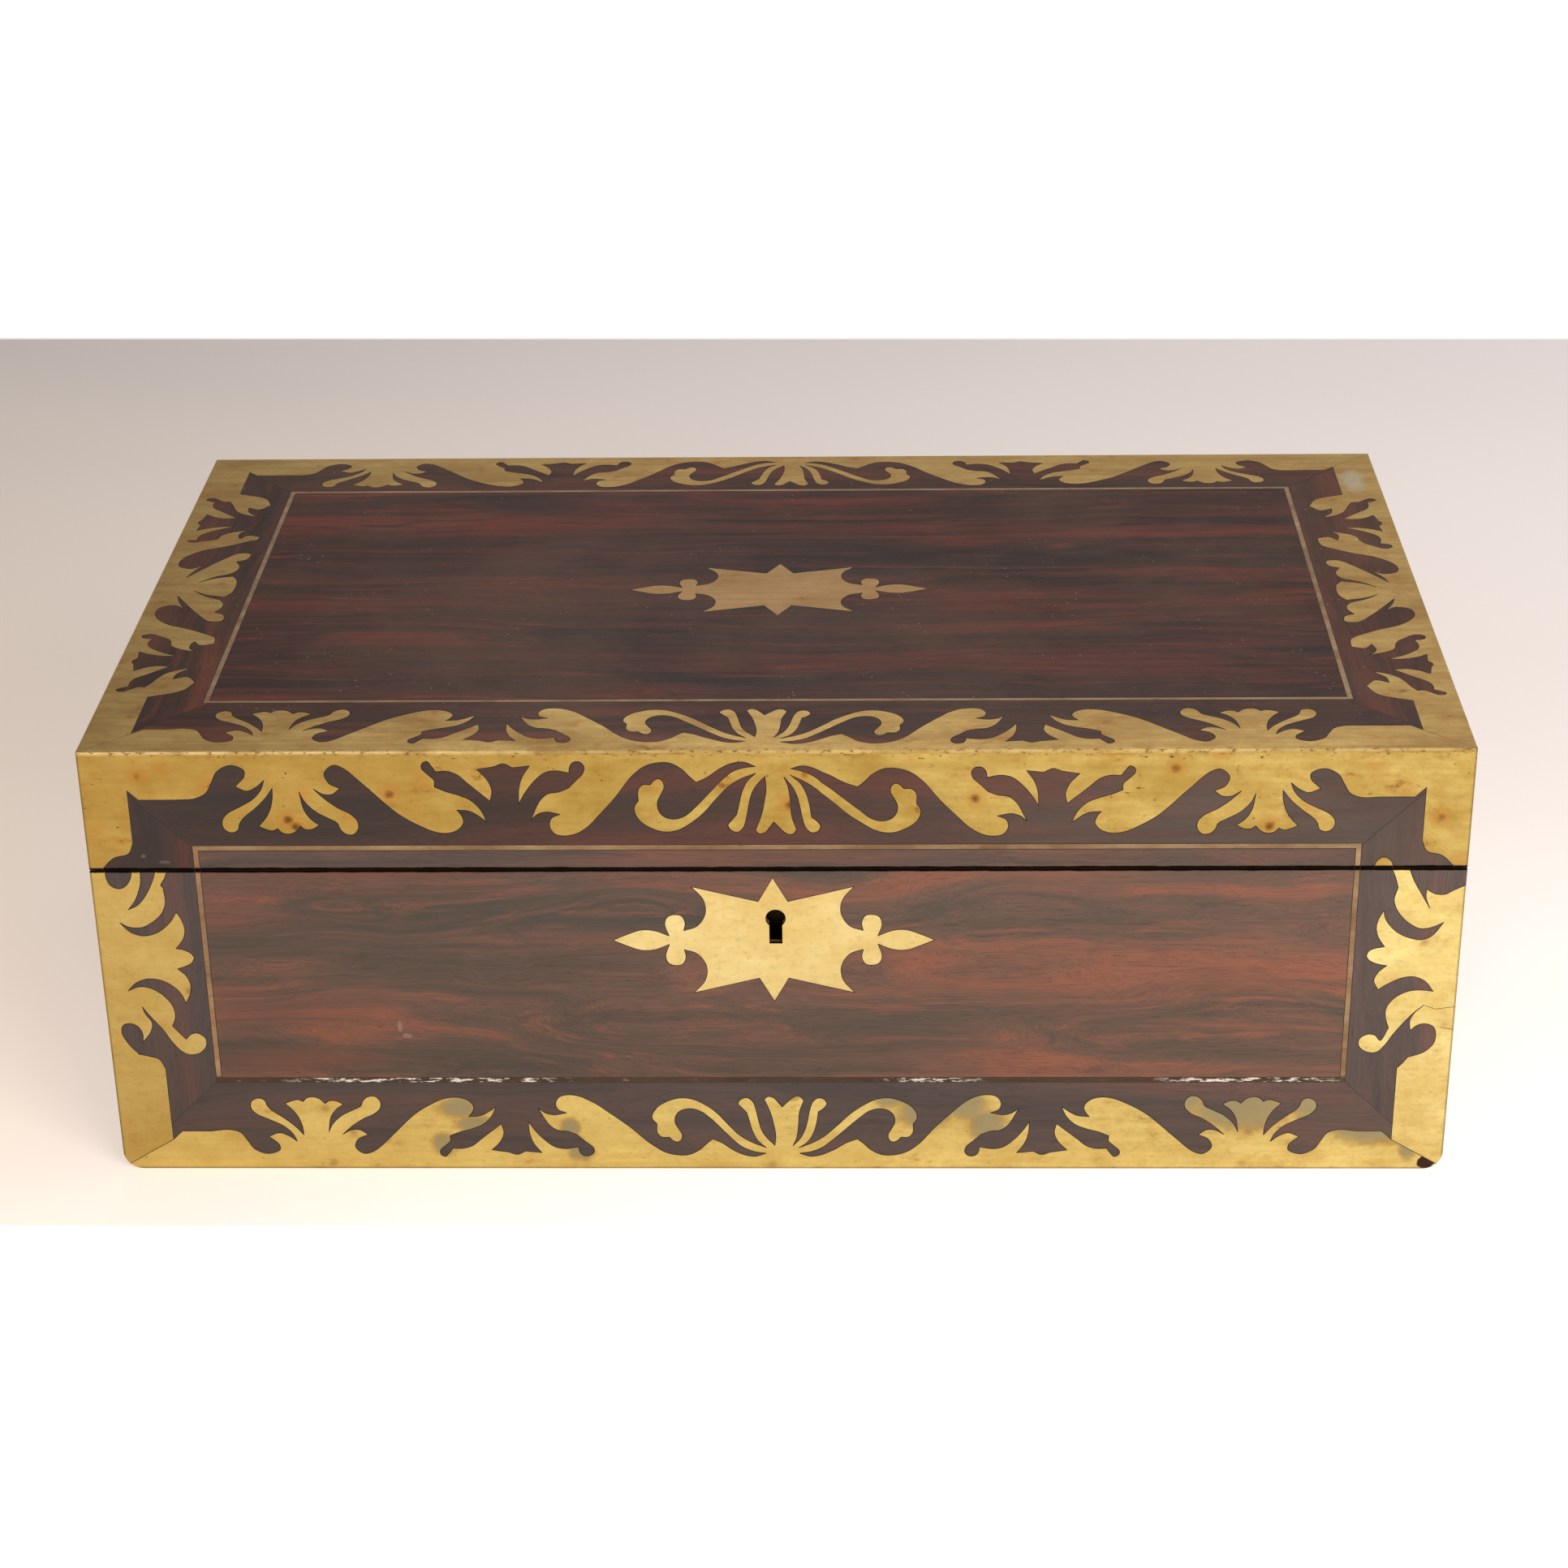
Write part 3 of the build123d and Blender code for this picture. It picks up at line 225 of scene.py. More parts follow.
def rosewood(name, dark, middle, red, seed, way="x", mitred=False, gloss=0.32, haze=None, sheen=0.5, across=0.0,
             figure=1.0, ink_share=0.6, marks=(), bend=26.0, tone_and_reflection=()):
    """Streaked rosewood under old french polish, with painted shade along the split and, where across is given, painted
    light that brightens it towards the right.
    """
    s = Shader(name, IOR=1.5, Specular_IOR_Level=sheen)
    grain = along_grain(s, way)
    if mitred:
        x, y, z = s.axes()
        from_side = s.math("SUBTRACT", half_width, s.math("ABSOLUTE", x))
        from_end = mitred(s, y, z)
        turned = s.math("LESS_THAN", from_side, from_end)
        grain = s.mix(turned, grain, along_grain(s, "y" if mitred is from_top_ends else "z"))
    wander = s.noise(s.scaled(grain, (0.008, 0.03, 0.03), (seed, 0, seed)), detail=2)
    bent = s.add("ShaderNodeVectorMath", operation="ADD")
    s.feed(bent.inputs[0], grain)
    s.feed(bent.inputs[1], s.vector(0.0, s.math("MULTIPLY", wander, bend), s.math("MULTIPLY", wander, bend)))
    bent = bent.outputs[0]
    flame = s.noise(s.scaled(bent, (0.0045, 0.06, 0.06), (seed, seed, 0)), detail=5, roughness=0.6, distortion=0.4)
    streaks = s.noise(s.scaled(bent, (0.006, 0.3, 0.3), (0, seed, seed)), detail=5, roughness=0.66, distortion=0.5)
    fibres = s.noise(s.scaled(bent, (0.05, 2.2, 2.2)), detail=3, roughness=0.6)
    pores = s.noise(s.scaled(bent, (0.12, 4.2, 4.2), (seed, 0, 0)), detail=1)
    clouds = s.noise(s.scaled(s.place, (0.014, 0.024, 0.024), (seed, seed, 0)), detail=4, roughness=0.6)
    colour = s.ramp(flame, (0.36, dark), (0.5, middle), (0.64, red))
    colour = s.mix(s.span(clouds, 0.4, 0.7, 0.0, 0.45 * figure), colour, dark)
    ink = s.span(streaks, 0.54, 0.68, 0.0, ink_share * figure)
    colour = s.mix(ink, colour, rgb(35, 29, 23))
    glow = s.span(streaks, 0.46, 0.3, 0.0, 0.7 * figure)
    colour = s.mix(glow, colour, red)
    fibre_share = s.span(fibres, 0.4, 0.72, 0.0, 0.3)
    colour = s.mix(fibre_share, colour, rgb(30, 20, 19))
    pore = s.span(pores, 0.62, 0.7)
    colour = s.mix(s.math("MULTIPLY", pore, 0.45), colour, rgb(24, 17, 16))
    if haze:
        dust = s.noise(s.scaled(s.place, (0.012,) * 3, (seed, 0, 0)), detail=5, roughness=0.65)
        colour = s.mix(s.span(dust, 0.45, 0.75, 0.0, 0.3), colour, haze)
        specks = s.spots(s.scaled(s.place, (0.3,) * 3, (seed, 0, 0)), 1.0, 0.12)
        sparse = s.noise(s.scaled(s.place, (0.05,) * 3, (seed, 0, 0)), detail=2)
        specks = s.math("MULTIPLY", specks, s.span(sparse, 0.5, 0.62, 0.0, 0.6))
        colour = s.mix(specks, colour, rgb(176, 164, 150))
    # Painted light: the colour grows brighter from left to right, up to 1 + across times at the right end.
    if across:
        gain = s.span(s.axes()[0], -half_width, half_width, 1.0, 1.0 + across)
        brighter = s.vector(gain, gain, gain)
        colour = s.mix(1.0, colour, brighter, "MULTIPLY")
    # Patches of another colour: darker and redder patches in the front field's wood, and on the lid band a grey patch
    # at the right that is painted reflection haze.
    for px, pz, wide, high, share, shade in tone_and_reflection:
        across_x, _, up_z = s.axes()
        patch_share = patch(s, across_x, up_z, (px, pz), (wide, high), clouds, 1.75, 0.6)
        patch_share = s.math("MULTIPLY", patch_share, s.span(streaks, 0.34, 0.56, 0.35 * share, share))
        colour = s.mix(patch_share, colour, shade)
    for px, pz, wide, high, share in marks:
        scuff = s.noise(s.scaled(s.place, (0.7,) * 3), detail=3)
        across_x, _, up_z = s.axes()
        spot = patch(s, across_x, up_z, (px, pz), (wide, high), scuff, 1.5, 1.1)
        colour = s.mix(s.math("MULTIPLY", spot, share), colour, rgb(168, 150, 132))
    if mitred:
        joint = s.math("ABSOLUTE", s.math("SUBTRACT", from_side, from_end))
        colour = s.mix(s.span(joint, 0.15, 0.32, 0.6, 0.0), colour, rgb(26, 20, 20))
    # Painted shade along the split between lid and base.
    s.feed(s.bsdf.inputs["Base Color"], s.split_shade(colour))
    smear = s.noise(s.scaled(s.place, (0.02, 0.03, 0.03), (seed, 0, 0)), detail=4)
    s.feed(s.bsdf.inputs["Roughness"], s.span(smear, 0.3, 0.7, gloss - 0.06, gloss + 0.1))
    relief = s.math("SUBTRACT", s.math("MULTIPLY", fibres, 0.35), pore)
    s.bump(relief, 0.02)
    return s.material


def from_base_end(s, y, z):
    return z


def from_lid_end(s, y, z):
    return s.math("SUBTRACT", box_height, z)


def from_top_ends(s, y, z):
    return s.math("SUBTRACT", half_depth, s.math("ABSOLUTE", y))


def plain_wood(name, dark, light, seed, way="x", gloss=0.5):
    """Straight-grained cabinet wood: mahogany or deal."""
    s = Shader(name, IOR=1.45)
    grain = along_grain(s, way)
    broad = s.noise(s.scaled(grain, (0.01, 0.11, 0.11), (seed, 0, 0)), detail=3, distortion=0.6)
    lines = s.noise(s.scaled(grain, (0.02, 0.9, 0.9), (0, seed, 0)), detail=4, roughness=0.6)
    pores = s.noise(s.scaled(grain, (0.12, 4.0, 4.0), (0, 0, seed)), detail=1)
    colour = s.ramp(s.math("ADD", s.math("MULTIPLY", broad, 0.5), s.math("MULTIPLY", lines, 0.5)),
                    (0.36, dark), (0.62, light))
    pore = s.span(pores, 0.6, 0.68)
    colour = s.mix(s.math("MULTIPLY", pore, 0.45), colour, s.mix(0.5, dark, rgb(20, 12, 8)))
    stain = s.noise(s.scaled(s.place, (0.02,) * 3, (seed, seed, 0)), detail=5, roughness=0.7)
    colour = s.mix(s.span(stain, 0.52, 0.75, 0.0, 0.4), colour, s.mix(0.5, dark, rgb(30, 20, 16)))
    s.feed(s.bsdf.inputs["Base Color"], colour)
    s.feed(s.bsdf.inputs["Roughness"], s.span(lines, 0.3, 0.7, gloss - 0.05, gloss + 0.12))
    s.bump(s.math("SUBTRACT", s.math("MULTIPLY", lines, 0.4), pore), 0.04)
    return s.material


# ---- metal, leather, glass ----------------------------------------------------------------------
def brass(name, light, deep, seed, spotting=0.5, tarnish=None, gloss=0.3, across=None, streaked=0.5, pitted_edge=0.0,
          spotted=0.0, knurled=None):
    """Old polished brass: uneven colour, brown spots, hairline scratches and, in places, tarnish, with painted shade
    and painted highlight at its edges.
    """
    s = Shader(name, Metallic=0.9, IOR=1.5)
    x, y, z = s.axes()
    cloud = s.noise(s.scaled(s.place, (0.035, 0.06, 0.06), (seed, 0, seed)), detail=5, roughness=0.65)
    fine = s.noise(s.scaled(s.place, (0.35, 0.5, 0.5), (seed, 0, 0)), detail=4, roughness=0.7)
    rolled = s.noise(s.scaled(s.place, (0.018, 0.5, 0.5), (0, seed, 0)), detail=5, roughness=0.65)
    colour = s.mix(s.span(cloud, 0.36, 0.64), light, deep)
    colour = s.mix(s.span(rolled, 0.42, 0.7, 0.0, streaked), colour, s.mix(0.5, deep, rgb(120, 84, 38)))
    colour = s.mix(s.span(fine, 0.5, 0.72, 0.0, 0.25), colour, rgb(126, 92, 44))
    # Painted shade: towards the left the colour goes part way to the across colour, as the light falls off there.
    if across:
        colour = s.mix(s.span(x, -half_width, half_width, 0.0, 1.0), s.mix(0.55, colour, across), colour)
    stain = s.noise(s.scaled(s.place, (0.09, 0.16, 0.16), (0, seed, seed)), detail=5, roughness=0.72)
    colour = s.mix(s.span(stain, 0.5, 0.72, 0.0, spotting), colour, s.mix(0.4, deep, rgb(156, 90, 26)))
    colour = s.mix(s.span(stain, 0.64, 0.74, 0.0, spotting), colour, rgb(118, 74, 30))
    pits = s.noise(s.scaled(s.place, (0.5, 1.0, 1.0), (seed, seed, 0)), detail=3, roughness=0.6)
    colour = s.mix(s.span(pits, 0.68, 0.74, 0.0, spotting), colour, rgb(84, 54, 24))
    if spotted:
        flecks = s.add("ShaderNodeVectorMath", operation="ADD")
        ragged = s.math("MULTIPLY", fine, 0.16)
        s.feed(flecks.inputs[0], s.scaled(s.place, (0.08,) * 3, (seed, seed, seed)))
        s.feed(flecks.inputs[1], s.vector(ragged, ragged, ragged))
        halo = s.math("MULTIPLY", s.spots(flecks.outputs[0], 1.0, 0.34), 0.5 * spotted)
        colour = s.mix(halo, colour, rgb(180, 112, 40))
        core = s.math("MULTIPLY", s.spots(flecks.outputs[0], 1.0, 0.15), 0.85 * spotted)
        colour = s.mix(core, colour, rgb(88, 54, 24))
    if pitted_edge:
        below = s.math("SUBTRACT", box_height, z)
        near = s.math("SUBTRACT", pits, s.span(below, 0.0, pitted_edge, 0.0, 0.14))
        colour = s.mix(s.span(near, 0.56, 0.62, 0.0, 0.75), colour, rgb(92, 60, 26))
    # Besides real tarnish, this hook also paints shade: the dark keyhole walls and the lock's front.
    if tarnish:
        colour = tarnish(s, colour)
    behind = s.math("ADD", y, half_depth)
    # Painted highlight along the top front arris, broken and strongest on the left, over the brighter rubbed wear
    # there.
    arris_highlight = s.math("MULTIPLY", s.span(z, box_height - 1.1, box_height - 0.2), s.span(behind, 1.1, 0.2))
    worn_highlight_noise = s.noise(s.scaled(s.place, (0.12, 0.1, 0.1), (seed, 0, 0)), detail=3)
    worn_highlight_share = s.math("MULTIPLY", s.span(worn_highlight_noise, 0.4, 0.6, 0.1, 0.75), s.span(x, -150.0, -60.0, 1.0, 0.5))
    colour = s.mix(s.math("MULTIPLY", arris_highlight, worn_highlight_share), colour, rgb(240, 212, 150))
    dents = s.noise(s.scaled(s.place, (0.45, 0.8, 0.8), (0, seed, 0)), detail=3, roughness=0.6)
    edge = s.math("MULTIPLY", s.span(z, box_height - 2.4, box_height - 0.4), s.span(behind, 2.4, 0.4))
    colour = s.mix(s.math("MULTIPLY", edge, s.span(dents, 0.56, 0.64, 0.0, 0.8)), colour, rgb(110, 72, 30))
    # Painted shade along the side edges and the bottom edge of the front sheets.
    out = s.math("ABSOLUTE", x)
    edge_shade = s.math("MAXIMUM", s.span(out, half_width - 0.7, half_width - 0.2), s.span(z, 0.8, 0.2))
    colour = s.mix(s.math("MULTIPLY", edge_shade, s.span(behind, 1.2, 0.6, 0.0, 0.6)), colour, rgb(84, 64, 36))
    # Painted shade along the split between lid and base.
    s.feed(s.bsdf.inputs["Base Color"], s.split_shade(colour))
    hairs = s.noise(s.scaled(s.place, (0.05, 6.0, 6.0), (seed, 0, 0)), detail=2)
    dull = s.math("ADD", s.span(cloud, 0.3, 0.7, gloss, gloss + 0.12), s.span(stain, 0.55, 0.8, 0.0, 0.2))
    s.feed(s.bsdf.inputs["Roughness"], dull)
    if knurled:
        turned = s.math("ARCTAN2", s.math("SUBTRACT", y, knurled[1]), s.math("SUBTRACT", s.math("ABSOLUTE", x), knurled[0]))
        s.bump(s.math("SINE", s.math("MULTIPLY", turned, 64.0)), 0.12)
    else:
        s.bump(s.math("ADD", s.math("MULTIPLY", hairs, 0.3), s.math("MULTIPLY", fine, 0.7)), 0.012)
    return s.material


def patch(s, x, z, place, size, ragged, start, end):
    """1 in a soft ragged round patch, given by its middle and its half width and height."""
    dx = s.math("DIVIDE", s.math("SUBTRACT", x, place[0]), size[0])
    dz = s.math("DIVIDE", s.math("SUBTRACT", z, place[1]), size[1])
    far = s.math("SQRT", s.math("ADD", s.math("MULTIPLY", dx, dx), s.math("MULTIPLY", dz, dz)))
    return s.span(s.math("ADD", far, s.math("MULTIPLY", ragged, 0.9)), start, end)


def patches(*places):
    """Grey-green tarnish with a brown rim, in patches given by x, z, half width and half height."""
    def paint(s, colour):
        x, y, z = s.axes()
        ragged = s.noise(s.scaled(s.place, (0.2,) * 3), detail=4, roughness=0.65)
        rim = core = 0.0
        for px, pz, across, upright in places:
            rim = s.math("MAXIMUM", rim, patch(s, x, z, (px, pz), (across, upright), ragged, 1.75, 1.3))
            core = s.math("MAXIMUM", core, patch(s, x, z, (px, pz), (across, upright), ragged, 1.45, 1.0))
        colour = s.mix(s.math("MULTIPLY", rim, 0.5), colour, rgb(150, 106, 56))
        colour = s.mix(s.math("MULTIPLY", core, 0.7), colour, rgb(148, 142, 112))
        chip = patch(s, x, z, (197.6, 2.4), (2.7, 2.2), ragged, 1.6, 1.45)
        return s.mix(chip, colour, rgb(66, 40, 32))
    return paint


def broken_filler(s, colour):
    """The lower string's lost lengths: dark gaps, with crumbs of white filler in three stretches."""
    x, y, z = s.axes()
    crumbs = s.noise(s.scaled(s.place, (0.22, 0.5, 0.9), (4.0, 0, 0)), detail=4, roughness=0.7)
    gaps = s.noise(s.scaled(s.place, (0.1, 0.5, 0.5), (8.0, 0, 0)), detail=4, roughness=0.7)
    low = s.span(z, string_bottom_inset + string_width + 0.6, string_bottom_inset + string_width)
    lost = s.math("MULTIPLY", low, s.span(gaps, 0.34, 0.42, 0.25, 0.9))
    colour = s.mix(lost, colour, rgb(66, 54, 42))
    filled = 0.0
    from_middle = s.math("ABSOLUTE", s.math("SUBTRACT", z, string_bottom_inset + string_width / 2))
    beside = s.math("MULTIPLY", low, s.span(from_middle, 0.35, 0.6, 0.0, 0.85))
    colour = s.mix(beside, colour, rgb(92, 68, 56))
    for start, end in ((-152, -62), (28, 64), (112, 172)):
        middle, reach = (start + end) / 2, (end - start) / 2
        inside = s.span(s.math("ABSOLUTE", s.math("SUBTRACT", x, middle)), reach, reach - 14)
        filled = s.math("MAXIMUM", filled, inside)
    white = s.math("MULTIPLY", s.span(crumbs, 0.5, 0.56), s.math("MULTIPLY", filled, low))
    return s.mix(white, colour, rgb(232, 224, 208))


def bloom(s, colour):
    """Whitish bloom near the back right corner of the top."""
    x, y, z = s.axes()
    ragged = s.noise(s.scaled(s.place, (0.25,) * 3), detail=4, roughness=0.65)
    dull = patch(s, x, y, (194, 92), (5, 12), ragged, 1.5, 0.9)
    return s.mix(s.math("MULTIPLY", dull, 0.55), colour, rgb(188, 184, 166))


def lock_shade(s, colour):
    """Painted shade, near black, inside the keyhole and down the front of the lock."""
    z = s.axes()[2]
    return s.mix(s.span(z, front_split - 2.0, front_split - 3.5, 0.0, 0.96), colour, rgb(20, 14, 10))


def hole_shade(s, colour):
    """Painted shade, near black, on the walls of the keyhole, behind the face of its plate."""
    return s.mix(s.span(s.axes()[1], 0.25 - half_depth, 0.1 - half_depth, 0.92, 0.0), colour, rgb(20, 14, 10))


def leather(name, hide, worn_hide, seed):
    s = Shader(name, IOR=1.45)
    cells = s.add("ShaderNodeTexVoronoi", feature="DISTANCE_TO_EDGE")
    s.feed(cells.inputs["Vector"], s.scaled(s.place, (1.1, 1.1, 1.1), (seed, 0, 0)))
    cells.inputs["Scale"].default_value = 1.0
    pebble = s.span(cells.outputs["Distance"], 0.0, 0.25)
    rub = s.noise(s.scaled(s.place, (0.018,) * 3, (seed, 0, 0)), detail=5, roughness=0.65)
    colour = s.mix(s.span(rub, 0.42, 0.72), hide, worn_hide)
    colour = s.mix(s.span(pebble, 0.0, 1.0, 0.35, 0.0), colour, rgb(18, 22, 16))
    ink = s.noise(s.scaled(s.place, (0.05,) * 3, (0, seed, 0)), detail=3, roughness=0.5)
    colour = s.mix(s.span(ink, 0.7, 0.74, 0.0, 0.6), colour, rgb(22, 22, 26))
    s.feed(s.bsdf.inputs["Base Color"], colour)
    s.feed(s.bsdf.inputs["Roughness"], s.span(rub, 0.4, 0.7, 0.62, 0.48))
    s.bump(s.math("ADD", pebble, s.noise(s.scaled(s.place, (3.0,) * 3), detail=2)), 0.05)
    return s.material


def glass(name):
    s = Shader(name, IOR=1.5, Transmission_Weight=1.0, Roughness=0.03)
    waves = s.noise(s.scaled(s.place, (0.09,) * 3), detail=3)
    s.feed(s.bsdf.inputs["Base Color"], s.mix(waves, rgb(214, 232, 226), rgb(236, 244, 240)))
    s.bump(waves, 0.3)
    return s.material


# ---- meshes -------------------------------------------------------------------------------------
def to_front(a, b, depth):
    """A sheet point, right and up on the front, and its depth under the face."""
    return Vector((a, -half_depth + depth, b)) * mm


def to_top(a, b, depth):
    return Vector((a, b, box_height - depth)) * mm


def new_object(name, mesh, body, material):
    made = bpy.data.objects.new(name, mesh)
    scene.collection.objects.link(made)
    mesh.materials.clear()
    mesh.materials.append(material)
    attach(made, body)
    return made


def filled(outlines):
    """A flat mesh of that outline, in millimetres, less the holes that follow it."""
    curve = bpy.data.curves.new("outline", "CURVE")
    curve.dimensions = "2D"
    curve.fill_mode = "BOTH"
    for points in outlines:
        spline = curve.splines.new("POLY")
        spline.points.add(len(points) - 1)
        for point, (a, b) in zip(spline.points, points):
            point.co = (a, b, 0, 1)
        spline.use_cyclic_u = True
    holder = bpy.data.objects.new("outline", curve)
    flat = bpy.data.meshes.new_from_object(holder)
    bpy.data.objects.remove(holder)
    bpy.data.curves.remove(curve)
    return flat


def sheet(name, onto, outlines, body, material, replaces=(), sink=0.0, clip=None, thickness=veneer):
    """A sawn sheet: its face lies on the case's face, or is sunk under it, and it goes inwards."""
    flat = filled(outlines)
    bm = bmesh.new()
    bm.from_mesh(flat)
    bpy.data.meshes.remove(flat)
    bmesh.ops.remove_doubles(bm, verts=bm.verts, dist=0.0005)
    bmesh.ops.recalc_face_normals(bm, faces=bm.faces)
    faces = list(bm.faces)
    grown = bmesh.ops.extrude_face_region(bm, geom=faces)
    for v in grown["geom"]:
        if isinstance(v, bmesh.types.BMVert):
            v.co.z = thickness
    for v in bm.verts:
        depth = sink if v.co.z == 0 else thickness
        v.co = onto(v.co.x, v.co.y, depth)
    if clip:
        clip(bm)
    bmesh.ops.recalc_face_normals(bm, faces=bm.faces)
    mesh = bpy.data.meshes.new(name)
    bm.to_mesh(mesh)
    bm.free()
    made = new_object(name, mesh, body, material)
    if replaces:
        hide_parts(*replaces)
    return made


def cut(bm, place, normal):
    """Cuts away what is beyond the plane and closes the cut."""
    geometry = bm.verts[:] + bm.edges[:] + bm.faces[:]
    bmesh.ops.bisect_plane(bm, geom=geometry, plane_co=place, plane_no=normal, clear_outer=True, dist=1e-7)
    open_edges = [e for e in bm.edges if e.is_boundary]
    bmesh.ops.holes_fill(bm, edges=open_edges)


rim_normal = Vector((0, split_slope, 1)).normalized()
base_rim_place = Vector((0, -half_depth, front_split)) * mm
lid_rim_place = Vector((0, -half_depth, front_split + lid_rim_rise)) * mm


def keep_base(bm):
    cut(bm, base_rim_place, rim_normal)


def keep_lid(bm):
    cut(bm, lid_rim_place, -rim_normal)


def glue_line(name, onto, outlines, body, material, width=0.22, clip=None, replaces=()):
    """The dark line of old glue where brass and wood meet, as a thin ribbon let into the face."""
    bm = bmesh.new()
    for points in outlines:
        pairs = zip(points, points[1:] + points[:1]) if len(points) > 2 else [points]
        for (a0, b0), (a1, b1) in pairs:
            length = math.hypot(a1 - a0, b1 - b0)
            if length < 1e-6:
                continue
            ta, tb = (a1 - a0) / length * width / 2, (b1 - b0) / length * width / 2
            corners = (
                (a0 - tb - ta * 0.5, b0 + ta - tb * 0.5), (a0 + tb - ta * 0.5, b0 - ta - tb * 0.5),
                (a1 + tb + ta * 0.5, b1 - ta + tb * 0.5), (a1 - tb + ta * 0.5, b1 + ta + tb * 0.5),
            )
            places = [onto(a, b, 0.01) for a, b in corners]
            for place in places:
                place.x = min(max(place.x, -half_width * mm), half_width * mm)
                place.y = min(max(place.y, -half_depth * mm), half_depth * mm)
            bm.faces.new([bm.verts.new(place) for place in places])
    if clip:
        geometry = bm.verts[:] + bm.edges[:] + bm.faces[:]
        place, normal = clip
        bmesh.ops.bisect_plane(bm, geom=geometry, plane_co=place, plane_no=normal, clear_outer=True, dist=1e-7)
    mesh = bpy.data.meshes.new(name)
    bm.to_mesh(mesh)
    bm.free()
    return new_object(name, mesh, body, material)


# ---- drawing the ornament -----------------------------------------------------------------------
drawn_half_width = 202.5
drawn_half_depth = 118.0
line_tolerance = 0.04
band_depth = 15.5
corner_chamfer = 3.0
string_width = 1.7
string_side_inset = 31.2
string_bottom_inset = 31.0
string_lid_inset = 30.6
string_front_inset = 33.6
string_back_inset = 31.0
leg_depth_lid = 13.8
leg_depth_base = 16.0
base_band_depth = 13.5
upright_drop = 29.4


def between(a, b, share):
    return (a[0] + (b[0] - a[0]) * share, a[1] + (b[1] - a[1]) * share)


def smooth_curve(points, steps=12):
    """Points along a smooth curve through the given ones."""
    first, second = points[0], points[1]
    last, before = points[-1], points[-2]
    chain = [(2 * first[0] - second[0], 2 * first[1] - second[1]), *points]
    chain.append((2 * last[0] - before[0], 2 * last[1] - before[1]))
    curve = [first]
    for p0, p1, p2, p3 in zip(chain, chain[1:], chain[2:], chain[3:]):
        t1 = math.sqrt(math.dist(p0, p1))
        t2 = t1 + math.sqrt(math.dist(p1, p2))
        t3 = t2 + math.sqrt(math.dist(p2, p3))
        for step in range(1, steps + 1):
            t = t1 + (t2 - t1) * step / steps
            a1 = between(p0, p1, t / t1)
            a2 = between(p1, p2, (t - t1) / (t2 - t1))
            a3 = between(p2, p3, (t - t2) / (t3 - t2))
            b1 = between(a1, a2, t / t2)
            b2 = between(a2, a3, (t - t1) / (t3 - t1))
            curve.append(between(b1, b2, (t - t1) / (t2 - t1)))
    return curve


def outline(runs):
    """One line from runs that are smooth inside and meet at sharp corners."""
    points = [runs[0][0]]
    for run in runs:
        points += run[1:] if len(run) == 2 else smooth_curve(run)[1:]
    return points


def turned(runs):
    return [run[::-1] for run in runs[::-1]]


# Every run is a list of (distance along the edge, depth from the edge). Brass lies between the
# edge and the line.
left_tulip = [
    [(5, 6.7), (7.6, 9.6), (9.2, 13.4), (10, 17), (10.8, 20.6)],
    [(10.8, 20.6), (12.4, 22.7), (13.4, 24.2), (12.4, 25.9), (10.6, 26.4), (8.9, 24.8), (8, 21.6), (7.1, 16.6),
     (6.2, 13.2), (4.8, 10.6), (2.4, 7.6)],
    [(2.4, 7.6), (2.1, 11.6), (2.7, 16.2), (3.6, 20.6), (5.4, 25.8)],
    [(5.4, 25.8), (4.3, 26.9), (2.6, 26.4), (1.2, 24.6), (0, 22.8)],
]
right_tulip = [
    [(5, 6.7), (7.9, 9.4), (9.6, 13), (10.6, 17.6), (11, 20.9)],
    [(11, 20.9), (12.7, 22.4), (13.6, 24), (12.8, 25.8), (11, 26.3), (9.4, 24.8), (8.4, 21.6), (7.6, 17),
     (6.8, 13.6), (5.4, 10.4), (3.1, 7.4)],
    [(3.1, 7.4), (4.3, 10.8), (4.9, 16), (5.2, 20.6), (6.6, 25.4)],
    [(6.6, 25.4), (5.4, 26.9), (3.8, 26.8), (1.7, 24.8), (0, 22.8)],
]
scroll = [
    [(22.4, 10.2), (19.2, 8.6), (15.6, 5.9), (11.6, 3.8), (8.4, 3.3), (5.1, 4.5)],
    [(5.1, 4.5), (8.6, 5.2), (12, 6.8), (15, 9.6), (18.6, 13.6), (22.7, 18.2), (26, 21.2), (29, 22.2),
     (32, 21.4), (33.6, 19.2), (33.8, 16.6), (32.8, 14.2), (31.8, 12), (32.1, 9.9), (33.3, 9), (34.5, 9.5), (35.7, 10.9)],
    [(35.7, 10.9), (38, 11), (39.3, 12.6), (39.4, 16.2)],
    [(39.4, 16.2), (40.5, 18), (40.5, 20), (39, 22.8), (36, 25), (32.4, 26.3), (28.4, 25.9), (24, 23.3),
     (20.4, 20.1), (16.6, 15.5), (12.7, 11.2), (9, 8.6), (5, 6.7)],
]
